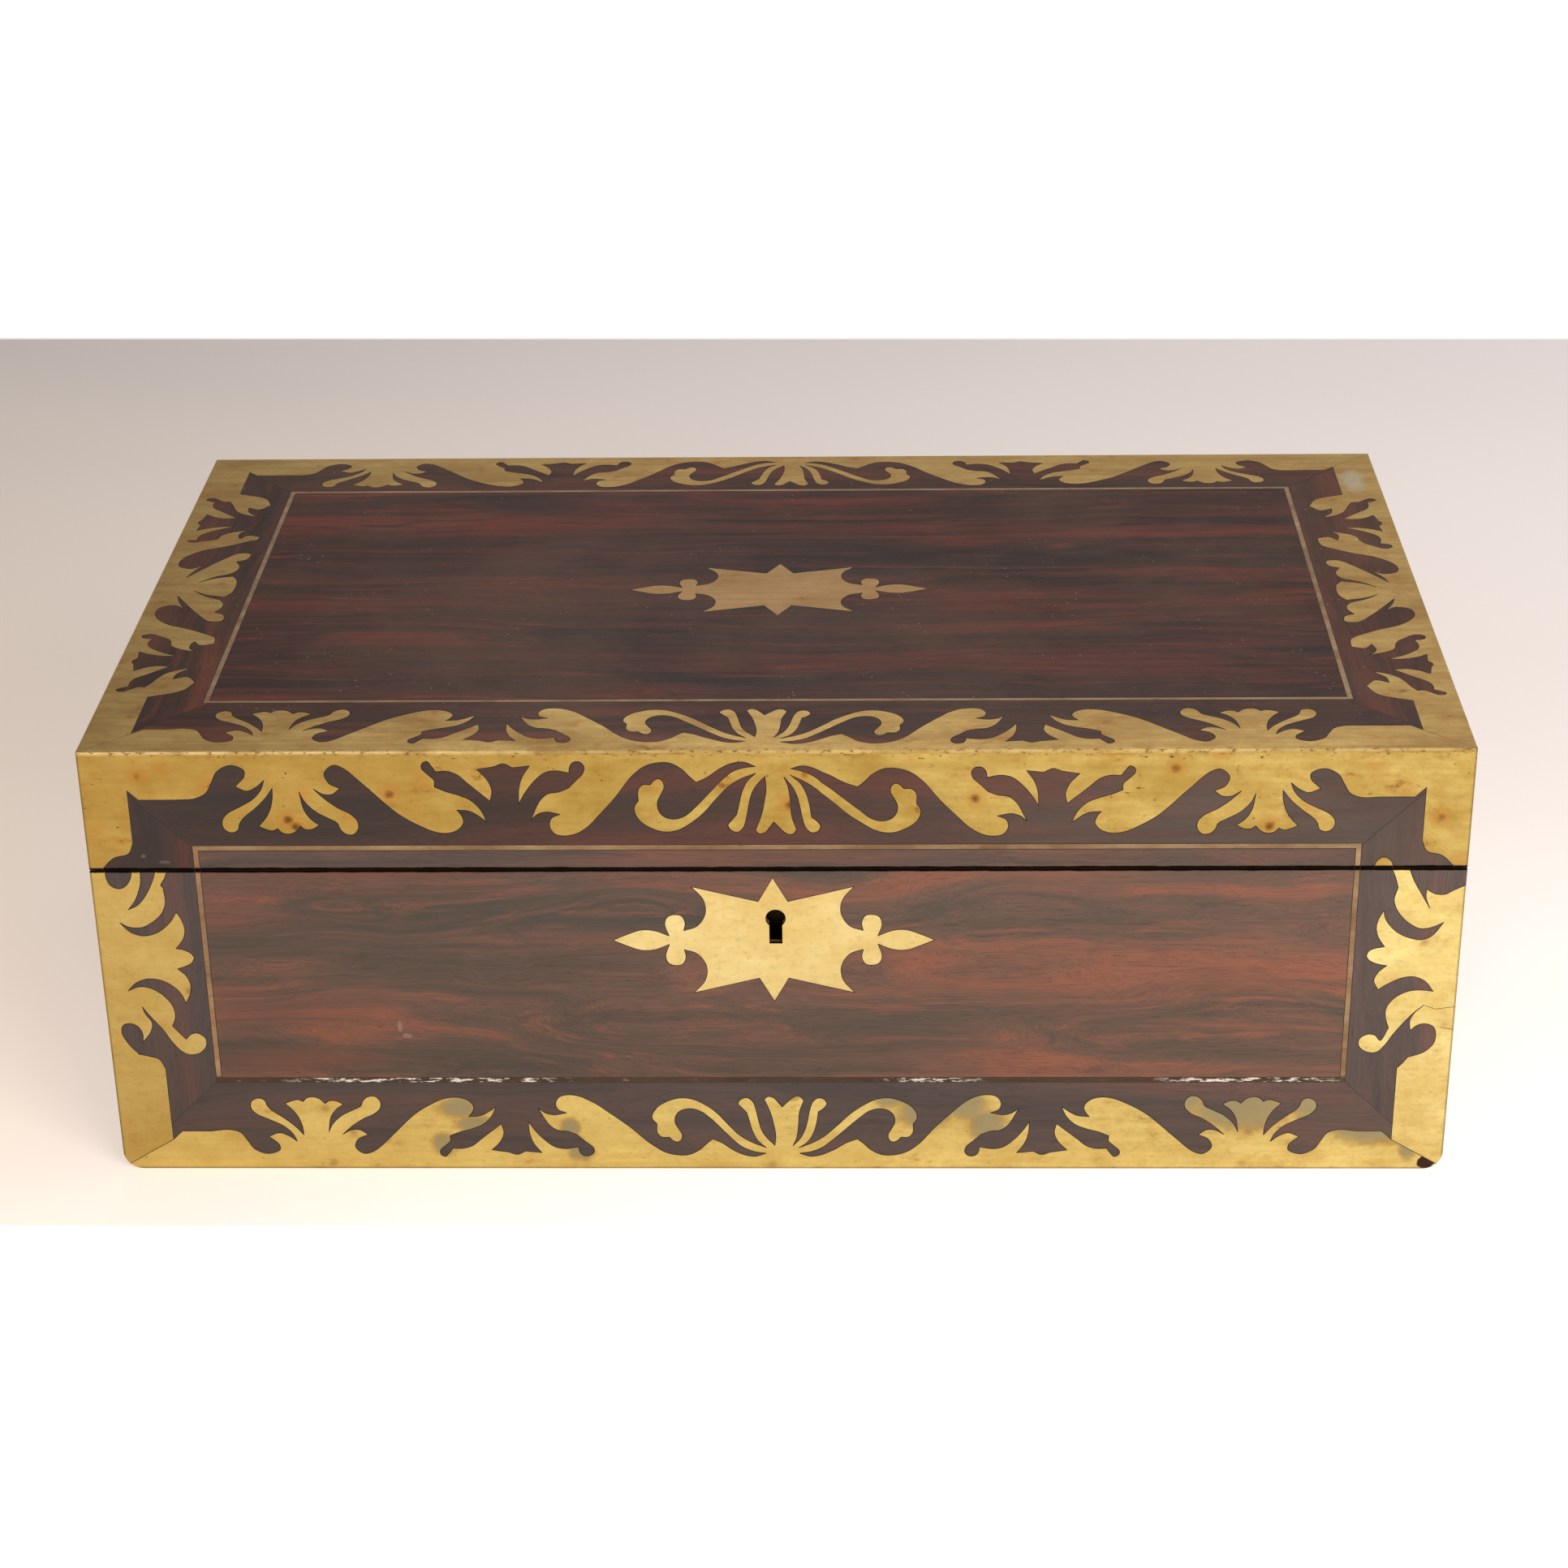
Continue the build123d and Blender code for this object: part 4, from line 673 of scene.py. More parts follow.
sprig = [
    [(92.5, 19), (88.6, 19.5), (84, 22.8)],
    [(84, 22.8), (85.6, 19), (88.2, 16), (91.8, 14.2), (95.4, 13), (98.6, 11.5)],
    [(98.6, 11.5), (98.6, 9.4), (100.2, 7.6), (102, 5.5), (101.8, 3.9), (100.4, 3.2), (99.2, 4.6), (98, 6.5)],
    [(98, 6.5), (95, 6.4), (92, 7.4), (88.6, 10.6), (82.6, 16.2)],
    [(82.6, 16.2), (82, 12.6), (83.2, 9.2), (86, 5.8)],
    [(86, 5.8), (80.8, 4.9)],
    [(80.8, 4.9), (78.2, 4), (75.6, 5.3)],
    [(75.6, 5.3), (70.6, 4.7)],
    [(70.6, 4.7), (72.9, 8.4), (74, 12), (74.3, 17)],
    [(74.3, 17), (72.3, 13.4), (69.4, 9.6), (66.4, 7), (63.2, 6.3), (59.2, 7)],
    [(59.2, 7), (58.9, 5), (57.8, 3.6), (56, 3.5), (54.8, 5), (55.2, 7.2), (57.2, 9.4), (59.6, 12)],
    [(59.6, 12), (62.4, 13.2), (65.6, 13.8), (68, 16), (71, 22.3)],
    [(71, 22.3), (69, 20.5), (66.4, 19.7), (62.4, 20.5)],
]
sprig_centre = 78.2
sprig_to_scroll = [
    [(62.4, 20.5), (65, 21.9), (65.6, 24.4), (64.2, 26.9), (61.4, 27.6), (58, 26.9), (54.6, 24.7), (51, 20.8),
     (46, 14.9), (41, 8.1), (37.6, 5.2), (34, 3.9), (30, 3.9), (26.6, 5.8), (24.4, 8.2), (22.4, 10.2)],
]
palmette = [
    [(174.5, 15.4), (169, 15), (165.6, 13.2), (163.6, 9.6), (161.8, 6.3), (157.8, 4.3), (154, 5.8), (154, 8),
     (156.9, 11.2)],
    [(156.9, 11.2), (153.6, 12.6), (150.8, 11.4), (148.3, 9.2)],
    [(148.3, 9.2), (149.4, 12.2), (152, 15.3), (156.2, 17.9), (160, 20.1), (161.6, 22.4), (161.3, 25),
     (159.2, 26.3), (157.3, 25.5), (156.6, 23.4), (155.4, 21.6), (151.6, 18.3), (148.4, 15), (146.1, 11.8)],
    [(146.1, 11.8), (146.3, 15), (147.2, 18.6), (148.8, 21.6), (151, 24.2)],
    [(151, 24.2), (149, 25.2), (147, 25.7), (145.5, 25)],
    [(145.5, 25), (144.2, 26.4), (142.6, 26.8), (140.6, 26.2), (138.7, 24.2)],
    [(138.7, 24.2), (137.5, 25.2), (135.4, 25.2), (133.2, 23.9)],
    [(133.2, 23.9), (135.6, 21.8), (137.4, 18.6), (138.3, 13)],
    [(138.3, 13), (137, 16), (134, 19.4), (130.4, 21.6), (127.9, 23.2), (127.1, 25.2), (125.6, 26.8),
     (123.4, 27), (121.8, 25), (121.9, 22.6), (123.8, 20.3), (127.4, 18.2), (131, 15.3), (134.1, 12)],
    [(134.1, 12), (131.4, 13.7), (128.8, 13.8), (126.3, 11.9)],
    [(126.3, 11.9), (129.4, 10.2), (130.5, 7), (128, 4.4), (125.2, 5.1), (119, 11), (109.7, 20.3), (104, 24),
     (99.3, 26.2), (95.6, 26.6), (92.4, 25.4), (90.8, 23), (91.3, 20.8), (92.5, 19)],
]
left_upper = [
    [(0, 28.4), (1.4, 27.6), (2.6, 25.6), (3.2, 23.2)],
    [(3.2, 23.2), (6.4, 25.6), (9.6, 26.4), (13, 25.7), (15.6, 24.4)],
    [(15.6, 24.4), (12.6, 22.6), (9.6, 19.6), (7.9, 16.4), (7.6, 13), (9.2, 9.6), (12, 7.2)],
    [(12, 7.2), (10.5, 10), (10.4, 13.6), (12.2, 17), (15, 19.9), (18.6, 21.4), (23.8, 21.3)],
    [(23.8, 21.3), (24.6, 20.7), (27, 22), (31, 23.4)],
    [(31, 23.4), (31, 19.8)],
    [(31, 19.8), (27.9, 19), (24, 17.4), (20.4, 15.3), (17.8, 12.9), (16.4, 10.2)],
    [(16.4, 10.2), (19, 12.2), (21.9, 13.6), (26, 14.8), (31, 14.9)],
    [(31, 14.9), (31, 12.6)],
    [(31, 12.6), (27, 11.9), (24.4, 10.2), (23.5, 8.2), (24.4, 5.9), (27, 4.7), (31, 4.7)],
    [(31, 4.7), (31, 0)],
]
left_lower = [
    [(0, 28.4), (1.8, 27.4), (3, 25.2), (3.8, 23)],
    [(3.8, 23), (6.2, 25.3), (9.5, 26.4), (12.6, 25.9), (15.6, 24.4)],
    [(15.6, 24.4), (12.4, 23.2), (9.6, 20.8), (7.6, 17.2), (7.3, 13.2), (8.8, 9.8), (11.4, 7.3)],
    [(11.4, 7.3), (10, 10.8), (10.6, 14.4), (13.2, 18), (17, 20.4), (20.6, 20.7), (23.7, 19.5)],
    [(23.7, 19.5), (28.3, 23.2)],
    [(28.3, 23.2), (26.5, 25), (26.2, 27), (28.1, 29.2), (31, 29), (33.2, 26.8), (33.7, 23.8), (32.4, 21.4),
     (29, 18.8), (25, 16.6), (20.6, 13.4), (17, 11)],
    [(17, 11), (19.6, 11.8), (22.4, 13.4), (25.6, 12.8), (29.3, 10)],
    [(29.3, 10), (26.4, 10.2), (23.8, 9), (22.8, 6.8), (23.4, 4.6), (26, 3.9), (30, 5.6), (33.6, 8.4)],
    [(33.6, 8.4), (34.4, 11.8), (35.4, 14.4), (38.7, leg_depth_base)],
]
right_upper = [
    [(0, 27.6), (1.6, 27), (2.6, 25.4), (3.2, 22.4)],
    [(3.2, 22.4), (6.4, 24.4), (9.4, 25.2), (12.4, 24.8), (15.4, 23.4)],
    [(15.4, 23.4), (12.4, 22.6), (8.6, 19.6), (6.4, 15.8), (5.6, 11.6), (7, 8.6), (11.4, 5.6)],
    [(11.4, 5.6), (9.8, 9), (9.4, 12.4), (11.6, 16.2), (15.4, 19.4), (19, 20.6), (23.2, 19.7)],
    [(23.2, 19.7), (27, 20.9), (31, 22.6)],
    [(31, 22.6), (31, 17.4)],
    [(31, 17.4), (25.6, 15.3), (20.4, 12.4), (16.2, 10)],
    [(16.2, 10), (19.6, 11.3), (22.6, 11.4)],
    [(22.6, 11.4), (21, 8.8), (20.8, 6), (22.2, 3.4), (23.9, 0)],
]
right_lower = [
    [(0, 27.6), (1.4, 26.6), (2.6, 24.2), (3.2, 21.3)],
    [(3.2, 21.3), (5.6, 23.8), (8.4, 24.8), (11.4, 23.4)],
    [(11.4, 23.4), (9.4, 20.6), (7.4, 16.6), (7, 13), (8.6, 9.6), (12, 7)],
    [(12, 7), (11.6, 10.4), (12, 14.4), (14.4, 18.4), (18, 20.6), (21.6, 20.4), (24.6, 19.4)],
    [(24.6, 19.4), (29, 21.6), (27.2, 23.3), (26.9, 25.6), (28.6, 27.9), (31, 27.8), (32.9, 25.6), (33.1, 22.6),
     (31, 20.4), (27, 18), (23, 15.2), (19, 11.9), (17, 9.6)],
    [(17, 9.6), (19.4, 12), (22, 13.2), (25.6, 12.9)],
    [(25.6, 12.9), (23.8, 11), (23.2, 8.6), (24.2, 6.1), (26.6, 5.2), (30, 5.6), (33, 8.2), (34.9, 13)],
    [(34.9, 13), (36.9, 14.4), (38.7, leg_depth_base)],
]
corner_foot = [[(29.5, 3.4), (33.7, 7.6), (35.2, 12.2), (38.7, leg_depth_lid)]]
side_flower = [
    [(0, 26.2), (4.4, 25.6), (7.5, 23.8)],
    [(7.5, 23.8), (6, 18), (3, 13.2)],
    [(3, 13.2), (6.8, 17.4), (10.4, 23.4), (14.4, 24.6), (18.6, 22.8)],
    [(18.6, 22.8), (20.4, 26), (24.2, 26.4), (24.8, 22.6), (19, 17.2), (6.5, 8.6)],
    [(6.5, 8.6), (11, 10), (15.6, 12.4)],
    [(15.6, 12.4), (13.4, 9), (15, 4.8), (20.4, 4.4), (27, 9.6), (30.8, 17), (35.4, 24.2)],
]
ball = [[(21.7, -1), (22.1, 2.2), (24.5, 3.8), (26.6, 2.4), (27.4, -1)]]
plate_quarter = [
    [(0, 21), (4.4, 13)],
    [(4.4, 13), (24, 18)],
    [(24, 18), (20.6, 13.6), (20.1, 9), (22.6, 4.8), (26.6, 3.2)],
    [(26.6, 3.2), (26.2, 6), (27.3, 8.2), (29.4, 8.6), (31.4, 7.8), (32.2, 5.4), (31, 1.4)],
    [(31, 1.4), (35.4, 3.2), (39.4, 3.4), (43.6, 1.9), (47.8, 0)],
]

# The long borders were sawn from one drawing and set out by eye. For the left and the right half of
# each: how far the middle, the scroll, the sprig and the palmette stand outwards from their places
# in the drawing, and the rise and the scale of the depth.
lid_border = ((0.0, 0.0, 0.0, 0.0, 0.0, 1.0), (0.0, 2.2, 2.7, 1.4, 2.3, 0.93))
base_border = ((-1.0, -2.0, 2.5, 0.0, 1.4, 0.91), (1.0, 1.5, 2.0, 1.5, 1.4, 0.91))
front_border = ((3.0, 4.0, 4.5, 4.3, 2.4, 0.97), (-3.0, -2.5, -3.3, -2.4, 1.0, 0.99))
back_border = ((-0.5, 0.5, 0.8, 0.0, 0.7, 1.0), (0.5, 1.5, 2.5, 2.0, 2.0, 0.95))
# Side borders: the middle and the flower, for the back and the front half of each.
left_border = ((1.5, 4.5), (-1.5, 1.5))
right_border = ((0.0, 0.0), (0.0, 0.0))
# Ends of the motifs in the drawing, where the set-out passes from one to the next.
tulip_end = 14.0
scroll_ends = (23.0, 40.0)
sprig_ends = (56.0, 101.0)
palmette_ends = (122.0, 163.0)
border_end, end_depth = palmette[0][0]


def along(knots, a):
    """Values at the place a, in a straight line between the knots on its two sides."""
    for (a0, first), (a1, second) in zip(knots, knots[1:]):
        if a <= a1:
            break
    share = (a - a0) / (a1 - a0)
    return [v0 + (v1 - v0) * share for v0, v1 in zip(first, second)]


def half_knots(fit, band):
    """Shift, rise and scale along one half of a long border."""
    middle, scroll_shift, sprig_shift, palmette_shift, rise, scale = fit
    knots = [(tulip_end, (middle, rise, scale))]
    knots += [(a, (scroll_shift, rise, scale)) for a in scroll_ends]
    knots += [(a, (sprig_shift, rise, scale)) for a in sprig_ends]
    knots += [(a, (palmette_shift, rise, scale)) for a in palmette_ends]
    return knots + [(border_end, (palmette_shift, band - scale * end_depth, scale))]


def long_border(leg_depth, band, fits):
    """Depth of a long border's brass, from its left corner piece to its right one."""
    left_knots = [(-a, (-shift, *depth)) for a, (shift, *depth) in half_knots(fits[0], band)[::-1]]
    knots = left_knots + half_knots(fits[1], band)
    line = []
    half = palmette + sprig + sprig_to_scroll + scroll
    drawn = [(-a, d) for a, d in outline(half + left_tulip)] + outline(half + right_tulip)[::-1][1:]
    for a, d in drawn:
        shift, rise, scale = along(knots, a)
        line.append((a + shift, rise + scale * d))
    leg_x = half_width - leg_depth
    notch = [(leg_x, band - corner_chamfer), (leg_x - corner_chamfer, band)]
    return [(-a, d) for a, d in notch] + line + notch[::-1]


lid_line = [(x, box_height - d) for x, d in long_border(leg_depth_lid, band_depth, lid_border)]
base_line = long_border(leg_depth_base, base_band_depth, base_border)
top_front_line = [(x, d - half_depth) for x, d in long_border(leg_depth_lid, band_depth, front_border)]
top_back_line = [(x, half_depth - d) for x, d in long_border(leg_depth_lid, band_depth, back_border)]


def left(points):
    return [(-a, b) for a, b in points]


upright_centre = front_split - upright_drop
lid_foot = [(half_width - d, upright_centre + v) for v, d in outline(corner_foot)]


def upright_edge(upper, lower):
    """Inner edge of a front upright on the right side, from its top end to the border's corner."""
    up_line = outline(upper)
    down_line = outline(lower)
    line = [(half_width - d, upright_centre + v) for v, d in up_line[::-1]]
    return line + [(half_width - d, upright_centre - v) for v, d in down_line[1:]]


right_upright = upright_edge(right_upper, right_lower)
left_upright = upright_edge(left_upper, left_lower)
lid_ball = [(half_width - d, front_split + v) for d, v in outline(ball)]
over = front_split + 9
under = front_split - 1


def string_path(edge_z, inset, open_z):
    x = half_width - string_side_inset - inset
    return [(-x, open_z), (-x, edge_z), (x, edge_z), (x, open_z)]


string_top = box_height - string_lid_inset
lid_string_outer = string_path(string_top, 0, under)
lid_string_inner = string_path(string_top - string_width, string_width, under)
base_string_outer = string_path(string_bottom_inset, 0, over)
base_string_inner = string_path(string_bottom_inset + string_width, string_width, over)

quarter = outline(plate_quarter)
right_side = quarter + [(a, -b) for a, b in quarter[::-1]][1:]
plate_shape = right_side + [(-a, b) for a, b in right_side[::-1]][1:-1]


def plate_outline(x, y):
    return [(x + a, y + b) for a, b in plate_shape]


side_sprig_centre = 56.4
side_sprig_scale = 0.93
side_border_end = 82.5
flower_end = 24.8
flower_tip = 35.4
side_sprig_start = 42.0
leaf_start = [(95, 26.2), (90.8, 23), (92.5, 19)]
leaf_end = [(62.4, 20.5), (65.6, 23), (64.4, 27)]


def side_half(fit):
    """Depth of one half of a top side border's brass, from the middle to the corner piece."""
    middle, flower_shift = fit
    sprig_line = [
        ((a - sprig_centre) * side_sprig_scale + side_sprig_centre, d)
        for a, d in outline(turned([leaf_start] + sprig + [leaf_end]))
    ]
    flower_line = outline(side_flower)
    join = smooth_curve([flower_line[-1], (38, 26.4), sprig_line[0]])[1:-1]
    foot = smooth_curve([sprig_line[-1], (78, 23.4), (side_border_end, leg_depth_lid)])[1:]
    knots = [(0, (middle,)), (flower_end, (flower_shift,)), (flower_tip, (flower_shift,))]
    knots += [(side_sprig_start, (0,)), (side_border_end, (0,))]
    return [(a + along(knots, a)[0], d) for a, d in flower_line + join + sprig_line + foot]


def top_side(centre, fits):
    """Inner edge of a top side border, right side, from the back notch to the front one."""
    line = [(half_width - d, centre + v) for v, d in side_half(fits[0])[::-1]]
    line += [(half_width - d, centre - v) for v, d in side_half(fits[1])[1:]]
    notch_y = half_depth - band_depth + corner_chamfer
    notch_x = half_width - leg_depth_lid
    return [(notch_x, notch_y)] + line + [(notch_x, -notch_y)]


top_right_line = top_side(-3.0, right_border)
top_left_line = left(top_side(2.5, left_border))

# ---- materials ----------------------------------------------------------------------------------
# In the woods and brasses below, across is painted light: the colour made brighter towards the right, where the light
# falls.
front_wood = rosewood(
    "rosewood_front", rgb(78, 61, 47), rgb(106, 73, 55), rgb(144, 82, 57), 3.1, across=0.42, ink_share=0.34,
    bend=46.0, marks=((-114, 51, 0.8, 2.2, 0.38), (-112, 47.5, 1.6, 0.9, 0.38)),
    tone_and_reflection=((-104, 92, 90, 20, 0.85, rgb(60, 51, 39)), (-150, 58, 26, 9, 0.5, rgb(66, 54, 42)),
          (10, 46, 46, 12, 0.35, rgb(78, 56, 42)), (-146, 39, 26, 4, 0.5, rgb(136, 72, 48)),
          (-120, 103.5, 52, 2.2, 0.7, rgb(120, 66, 46))),
)
lid_front_wood = rosewood(
    "rosewood_lid_front", rgb(70, 53, 42), rgb(90, 64, 50), rgb(120, 73, 54), 7.7, across=0.25, ink_share=0.45,
    marks=((-185, 107, 1.2, 0.8, 0.38),),
)
lid_band_wood = rosewood(
    "rosewood_lid_band", rgb(44, 29, 21), rgb(58, 37, 27), rgb(80, 42, 30), 5.3, mitred=from_lid_end, across=1.5,
    figure=0.6, sheen=0.33, marks=((-180, 107, 1.8, 0.6, 0.2), (-186, 109, 0.8, 0.7, 0.22)),
    # The grey patch at the right is painted reflection haze.
    tone_and_reflection=((150, 114, 120, 30, 0.6, rgb(100, 88, 78)),),
)
base_band_wood = rosewood(
    "rosewood_base_band", rgb(62, 48, 43), rgb(78, 60, 52), rgb(96, 62, 52), 1.9, mitred=from_base_end, across=0.6,
    figure=0.6,
)
top_wood = rosewood(
    "rosewood_top", rgb(54, 33, 24), rgb(80, 44, 32), rgb(124, 54, 36), 9.4, haze=rgb(128, 96, 72), gloss=0.3,
    sheen=0.12, figure=1.2, ink_share=0.7,
)
top_band_wood = rosewood(
    "rosewood_top_band", rgb(60, 36, 26), rgb(84, 48, 34), rgb(118, 60, 40), 2.6, mitred=from_top_ends,
    haze=rgb(120, 90, 66), gloss=0.3, sheen=0.12,
)
side_wood = rosewood("rosewood_sides", rgb(62, 42, 36), rgb(88, 54, 42), rgb(116, 60, 44), 6.2, way="y")
back_wood = rosewood("rosewood_back", rgb(60, 40, 35), rgb(84, 52, 42), rgb(110, 58, 44), 8.8)
mahogany_x = plain_wood("mahogany_long", rgb(92, 46, 28), rgb(142, 80, 48), 4.0)
mahogany_y = plain_wood("mahogany_deep", rgb(92, 46, 28), rgb(142, 80, 48), 5.0, way="y")
carcass_x = plain_wood("carcass_long", rgb(120, 78, 46), rgb(172, 124, 80), 2.0)
carcass_y = plain_wood("carcass_deep", rgb(120, 78, 46), rgb(172, 124, 80), 3.0, way="y")
lid_brass = brass(
    "brass_lid_front", rgb(206, 174, 98), rgb(178, 142, 68), 1.3, across=rgb(152, 118, 48), pitted_edge=4.0,
    spotting=0.75, streaked=0.3, spotted=1.0,
)
upright_brass = brass(
    "brass_uprights", rgb(240, 216, 142), rgb(220, 188, 110), 4.9, across=rgb(150, 116, 36), streaked=0.15,
    spotted=0.5,
)
base_brass = brass(
    "brass_base_front", rgb(238, 214, 134), rgb(214, 184, 106), 8.3, across=rgb(206, 176, 92), streaked=0.3,
    spotted=0.35, tarnish=patches(
        (44, 21, 9, 7), (57, 24, 6, 7), (63, 16, 6, 5), (34, 26, 6, 5), (139, 22, 15, 9), (123, 26, 6, 6),
        (160, 25, 6, 7), (180, 14, 15, 5), (-98, 22, 6, 4), (-93, 16, 6, 3), (-103, 9, 4, 4),
        (-61, 6, 4, 3), (-64, 15, 3, 3),
        (192, 8, 3, 5),
    ),
)
plate_brass = brass("brass_escutcheon", rgb(230, 204, 138), rgb(220, 187, 115), 6.6, spotting=0.12, streaked=0.05,
                    tarnish=hole_shade)
# Darker colours than the front brass: painted shade for the top, which takes less light.
top_brass = brass("brass_top", rgb(200, 166, 94), rgb(166, 130, 68), 2.2, spotting=0.6, gloss=0.34, tarnish=bloom,
                  spotted=0.35)
lock_brass = brass("brass_lock", rgb(196, 158, 90), rgb(164, 124, 64), 5.9, gloss=0.34, tarnish=lock_shade)
name_brass = brass("brass_name_plate", rgb(180, 142, 92), rgb(162, 124, 74), 3.4, spotting=0.3, gloss=0.34)
string_brass = brass("brass_stringing", rgb(176, 144, 108), rgb(134, 104, 76), 5.5, spotting=0.6, gloss=0.4)
front_string_brass = brass(
    "brass_front_stringing", rgb(176, 144, 108), rgb(134, 104, 76), 6.5, spotting=0.6, gloss=0.4, tarnish=broken_filler,
)
hinge_brass = brass("brass_hinges", rgb(196, 158, 90), rgb(164, 124, 64), 7.1, spotting=0.6, gloss=0.34)
cap_brass = brass("brass_caps", rgb(206, 170, 98), rgb(176, 138, 74), 9.9, spotting=0.4, gloss=0.28,
                  knurled=(172.3, -83.4))
green_leather = leather("leather_green", rgb(38, 52, 38), rgb(66, 74, 52), 1.7)
bottle_glass = glass("glass_bottles")


def plain(name, colour, roughness, seed, metallic=0.0):
    s = Shader(name, Metallic=metallic)
    cloud = s.noise(s.scaled(s.place, (0.3,) * 3, (seed, 0, 0)), detail=4, roughness=0.6)
    darker = tuple(c * 0.55 for c in colour[:3]) + (1,)
    s.feed(s.bsdf.inputs["Base Color"], s.mix(cloud, darker, colour))
    s.feed(s.bsdf.inputs["Roughness"], s.span(cloud, 0.3, 0.7, roughness - 0.1, roughness + 0.1))
    s.bump(cloud, 0.03)
    return s.material


glue = plain("glue_line", rgb(40, 27, 20), 0.6, 1.0)
bolt_steel = plain("steel_bolt", rgb(150, 146, 140), 0.4, 2.0, metallic=1.0)
# The slots' colour is painted shade for a recess that has no depth.
slot_shade = plain("screw_slot", rgb(34, 26, 18), 0.7, 3.0)
gilt = plain("gilt_tooling", rgb(196, 156, 84), 0.42, 4.0, metallic=0.8)

# ---- marquetry: front of the lid ----------------------------------------------------------------
wood_sink = 0.03
brass_sink = 0.02
plate_top = box_height - veneer
lid_corners = [(half_width, plate_top), (-half_width, plate_top)]
sheet("lid_front_border_brass", to_front, [lid_line + lid_corners], "lid", lid_brass,
      ["lid_front_border"], brass_sink)
foot_end = [(half_width, lid_foot[0][1])]
corner_piece = [lid_line[-1]] + lid_foot[::-1] + foot_end + [(half_width, plate_top)]
sheet("lid_front_corner_right_brass", to_front, [corner_piece], "lid", lid_brass,
      ["lid_front_corner_right"], brass_sink, keep_lid)
sheet("lid_front_corner_left_brass", to_front, [left(corner_piece)], "lid", lid_brass,
      ["lid_front_corner_left"], brass_sink, keep_lid)
sheet("lid_front_ball_brass", to_front, [lid_ball], "lid", lid_brass, (), brass_sink, keep_lid)
lid_band = lid_line + lid_foot[::-1] + lid_ball + lid_string_outer[::-1] + left(lid_foot)
sheet("lid_front_band_veneer", to_front, [lid_band], "lid", lid_band_wood,
      ["lid_front_veneer"], wood_sink, keep_lid)
sheet("lid_front_field_veneer", to_front, [lid_string_inner], "lid", lid_front_wood, (),
      wood_sink, keep_lid)
sheet("lid_front_stringing_brass", to_front, [lid_string_outer + lid_string_inner[::-1]], "lid", string_brass,
      ["lid_front_stringing"], brass_sink, keep_lid)
glue_line("lid_front_glue", to_front, [lid_band, lid_string_inner], "lid", glue,
          clip=(lid_rim_place, -rim_normal))

# ---- marquetry: front of the base ---------------------------------------------------------------


def corner_arc(start, end):
    """Points of the rounded lower right corner, by their angle under the level."""
    r = worn_corner_radius
    turns = [math.radians(start + (end - start) * i / 8) for i in range(9)]
    return [(half_width - r + r * math.cos(t), r - r * math.sin(t)) for t in turns]


ground = corner_arc(45, 90)
sheet("base_front_border_brass", to_front, [base_line + ground + left(ground[::-1])], "base", base_brass,
      ["base_front_border"], brass_sink)
upright_foot = [base_line[-1]] + corner_arc(45, 0)
right_shape = right_upright + upright_foot
left_shape = left(left_upright + upright_foot)
sheet("base_front_upright_right_brass", to_front, [right_shape], "base", upright_brass,
      ["base_front_upright_right"], brass_sink, keep_base)
sheet("base_front_upright_left_brass", to_front, [left_shape], "base", upright_brass,
      ["base_front_upright_left"], brass_sink, keep_base)
base_band = left(left_upright) + base_line + right_upright[::-1]
base_band += [(half_width, over), (base_string_outer[-1][0], over)]
base_band += base_string_outer[::-1][1:] + [(-half_width, over)]
sheet("base_front_band_veneer", to_front, [base_band], "base", base_band_wood,
      ["base_front_veneer"], wood_sink, keep_base)
escutcheon_z = front_split - 23.0
keyhole_z = front_split - 16.3
escutcheon = plate_outline(-0.7, escutcheon_z - 0.6)
sheet("base_front_field_veneer", to_front, [base_string_inner, escutcheon], "base", front_wood, (),
      wood_sink, keep_base)
sheet("base_front_stringing_brass", to_front, [base_string_outer + base_string_inner[::-1]], "base",
      front_string_brass, ["base_front_stringing"], brass_sink, keep_base)
slot_half = 1.95
slot_turn = math.asin(slot_half / 3.0)
keyhole = [
    (3.0 * math.sin(a), keyhole_z - 3.0 * math.cos(a))
    for a in [slot_turn + (2 * math.pi - 2 * slot_turn) * i / 40 for i in range(41)]
]
keyhole += [(-slot_half, keyhole_z - 8.5), (slot_half, keyhole_z - 8.5)]
sheet("keyhole_escutcheon_brass", to_front, [escutcheon, keyhole], "base", plate_brass,
      ["keyhole_escutcheon"], brass_sink)
foot_mitre = [base_line[-1], corner_arc(45, 90)[0]]
glue_line("base_front_glue", to_front,
          [base_band, base_string_inner, escutcheon, foot_mitre, left(foot_mitre)], "base", glue,
          clip=(base_rim_place, rim_normal))
cracks = [[(192.8, 57.9), (196.6, 56.5)], [(196.6, 56.5), (202.4, 57.3)], [(198.4, 50.2), (202.4, 49.4)]]
glue_line("base_front_cracks", to_front, cracks, "base", glue, width=0.16)

# ---- marquetry: top -----------------------------------------------------------------------------
front_corners = [(half_width, -half_depth), (-half_width, -half_depth)]
side_corners = [(half_width, -half_depth), (half_width, half_depth)]


def rectangle(inset):
    x = half_width - string_side_inset - inset
    y0 = string_front_inset - half_depth + inset
    y1 = half_depth - string_back_inset - inset
    return [(-x, y0), (x, y0), (x, y1), (-x, y1)]


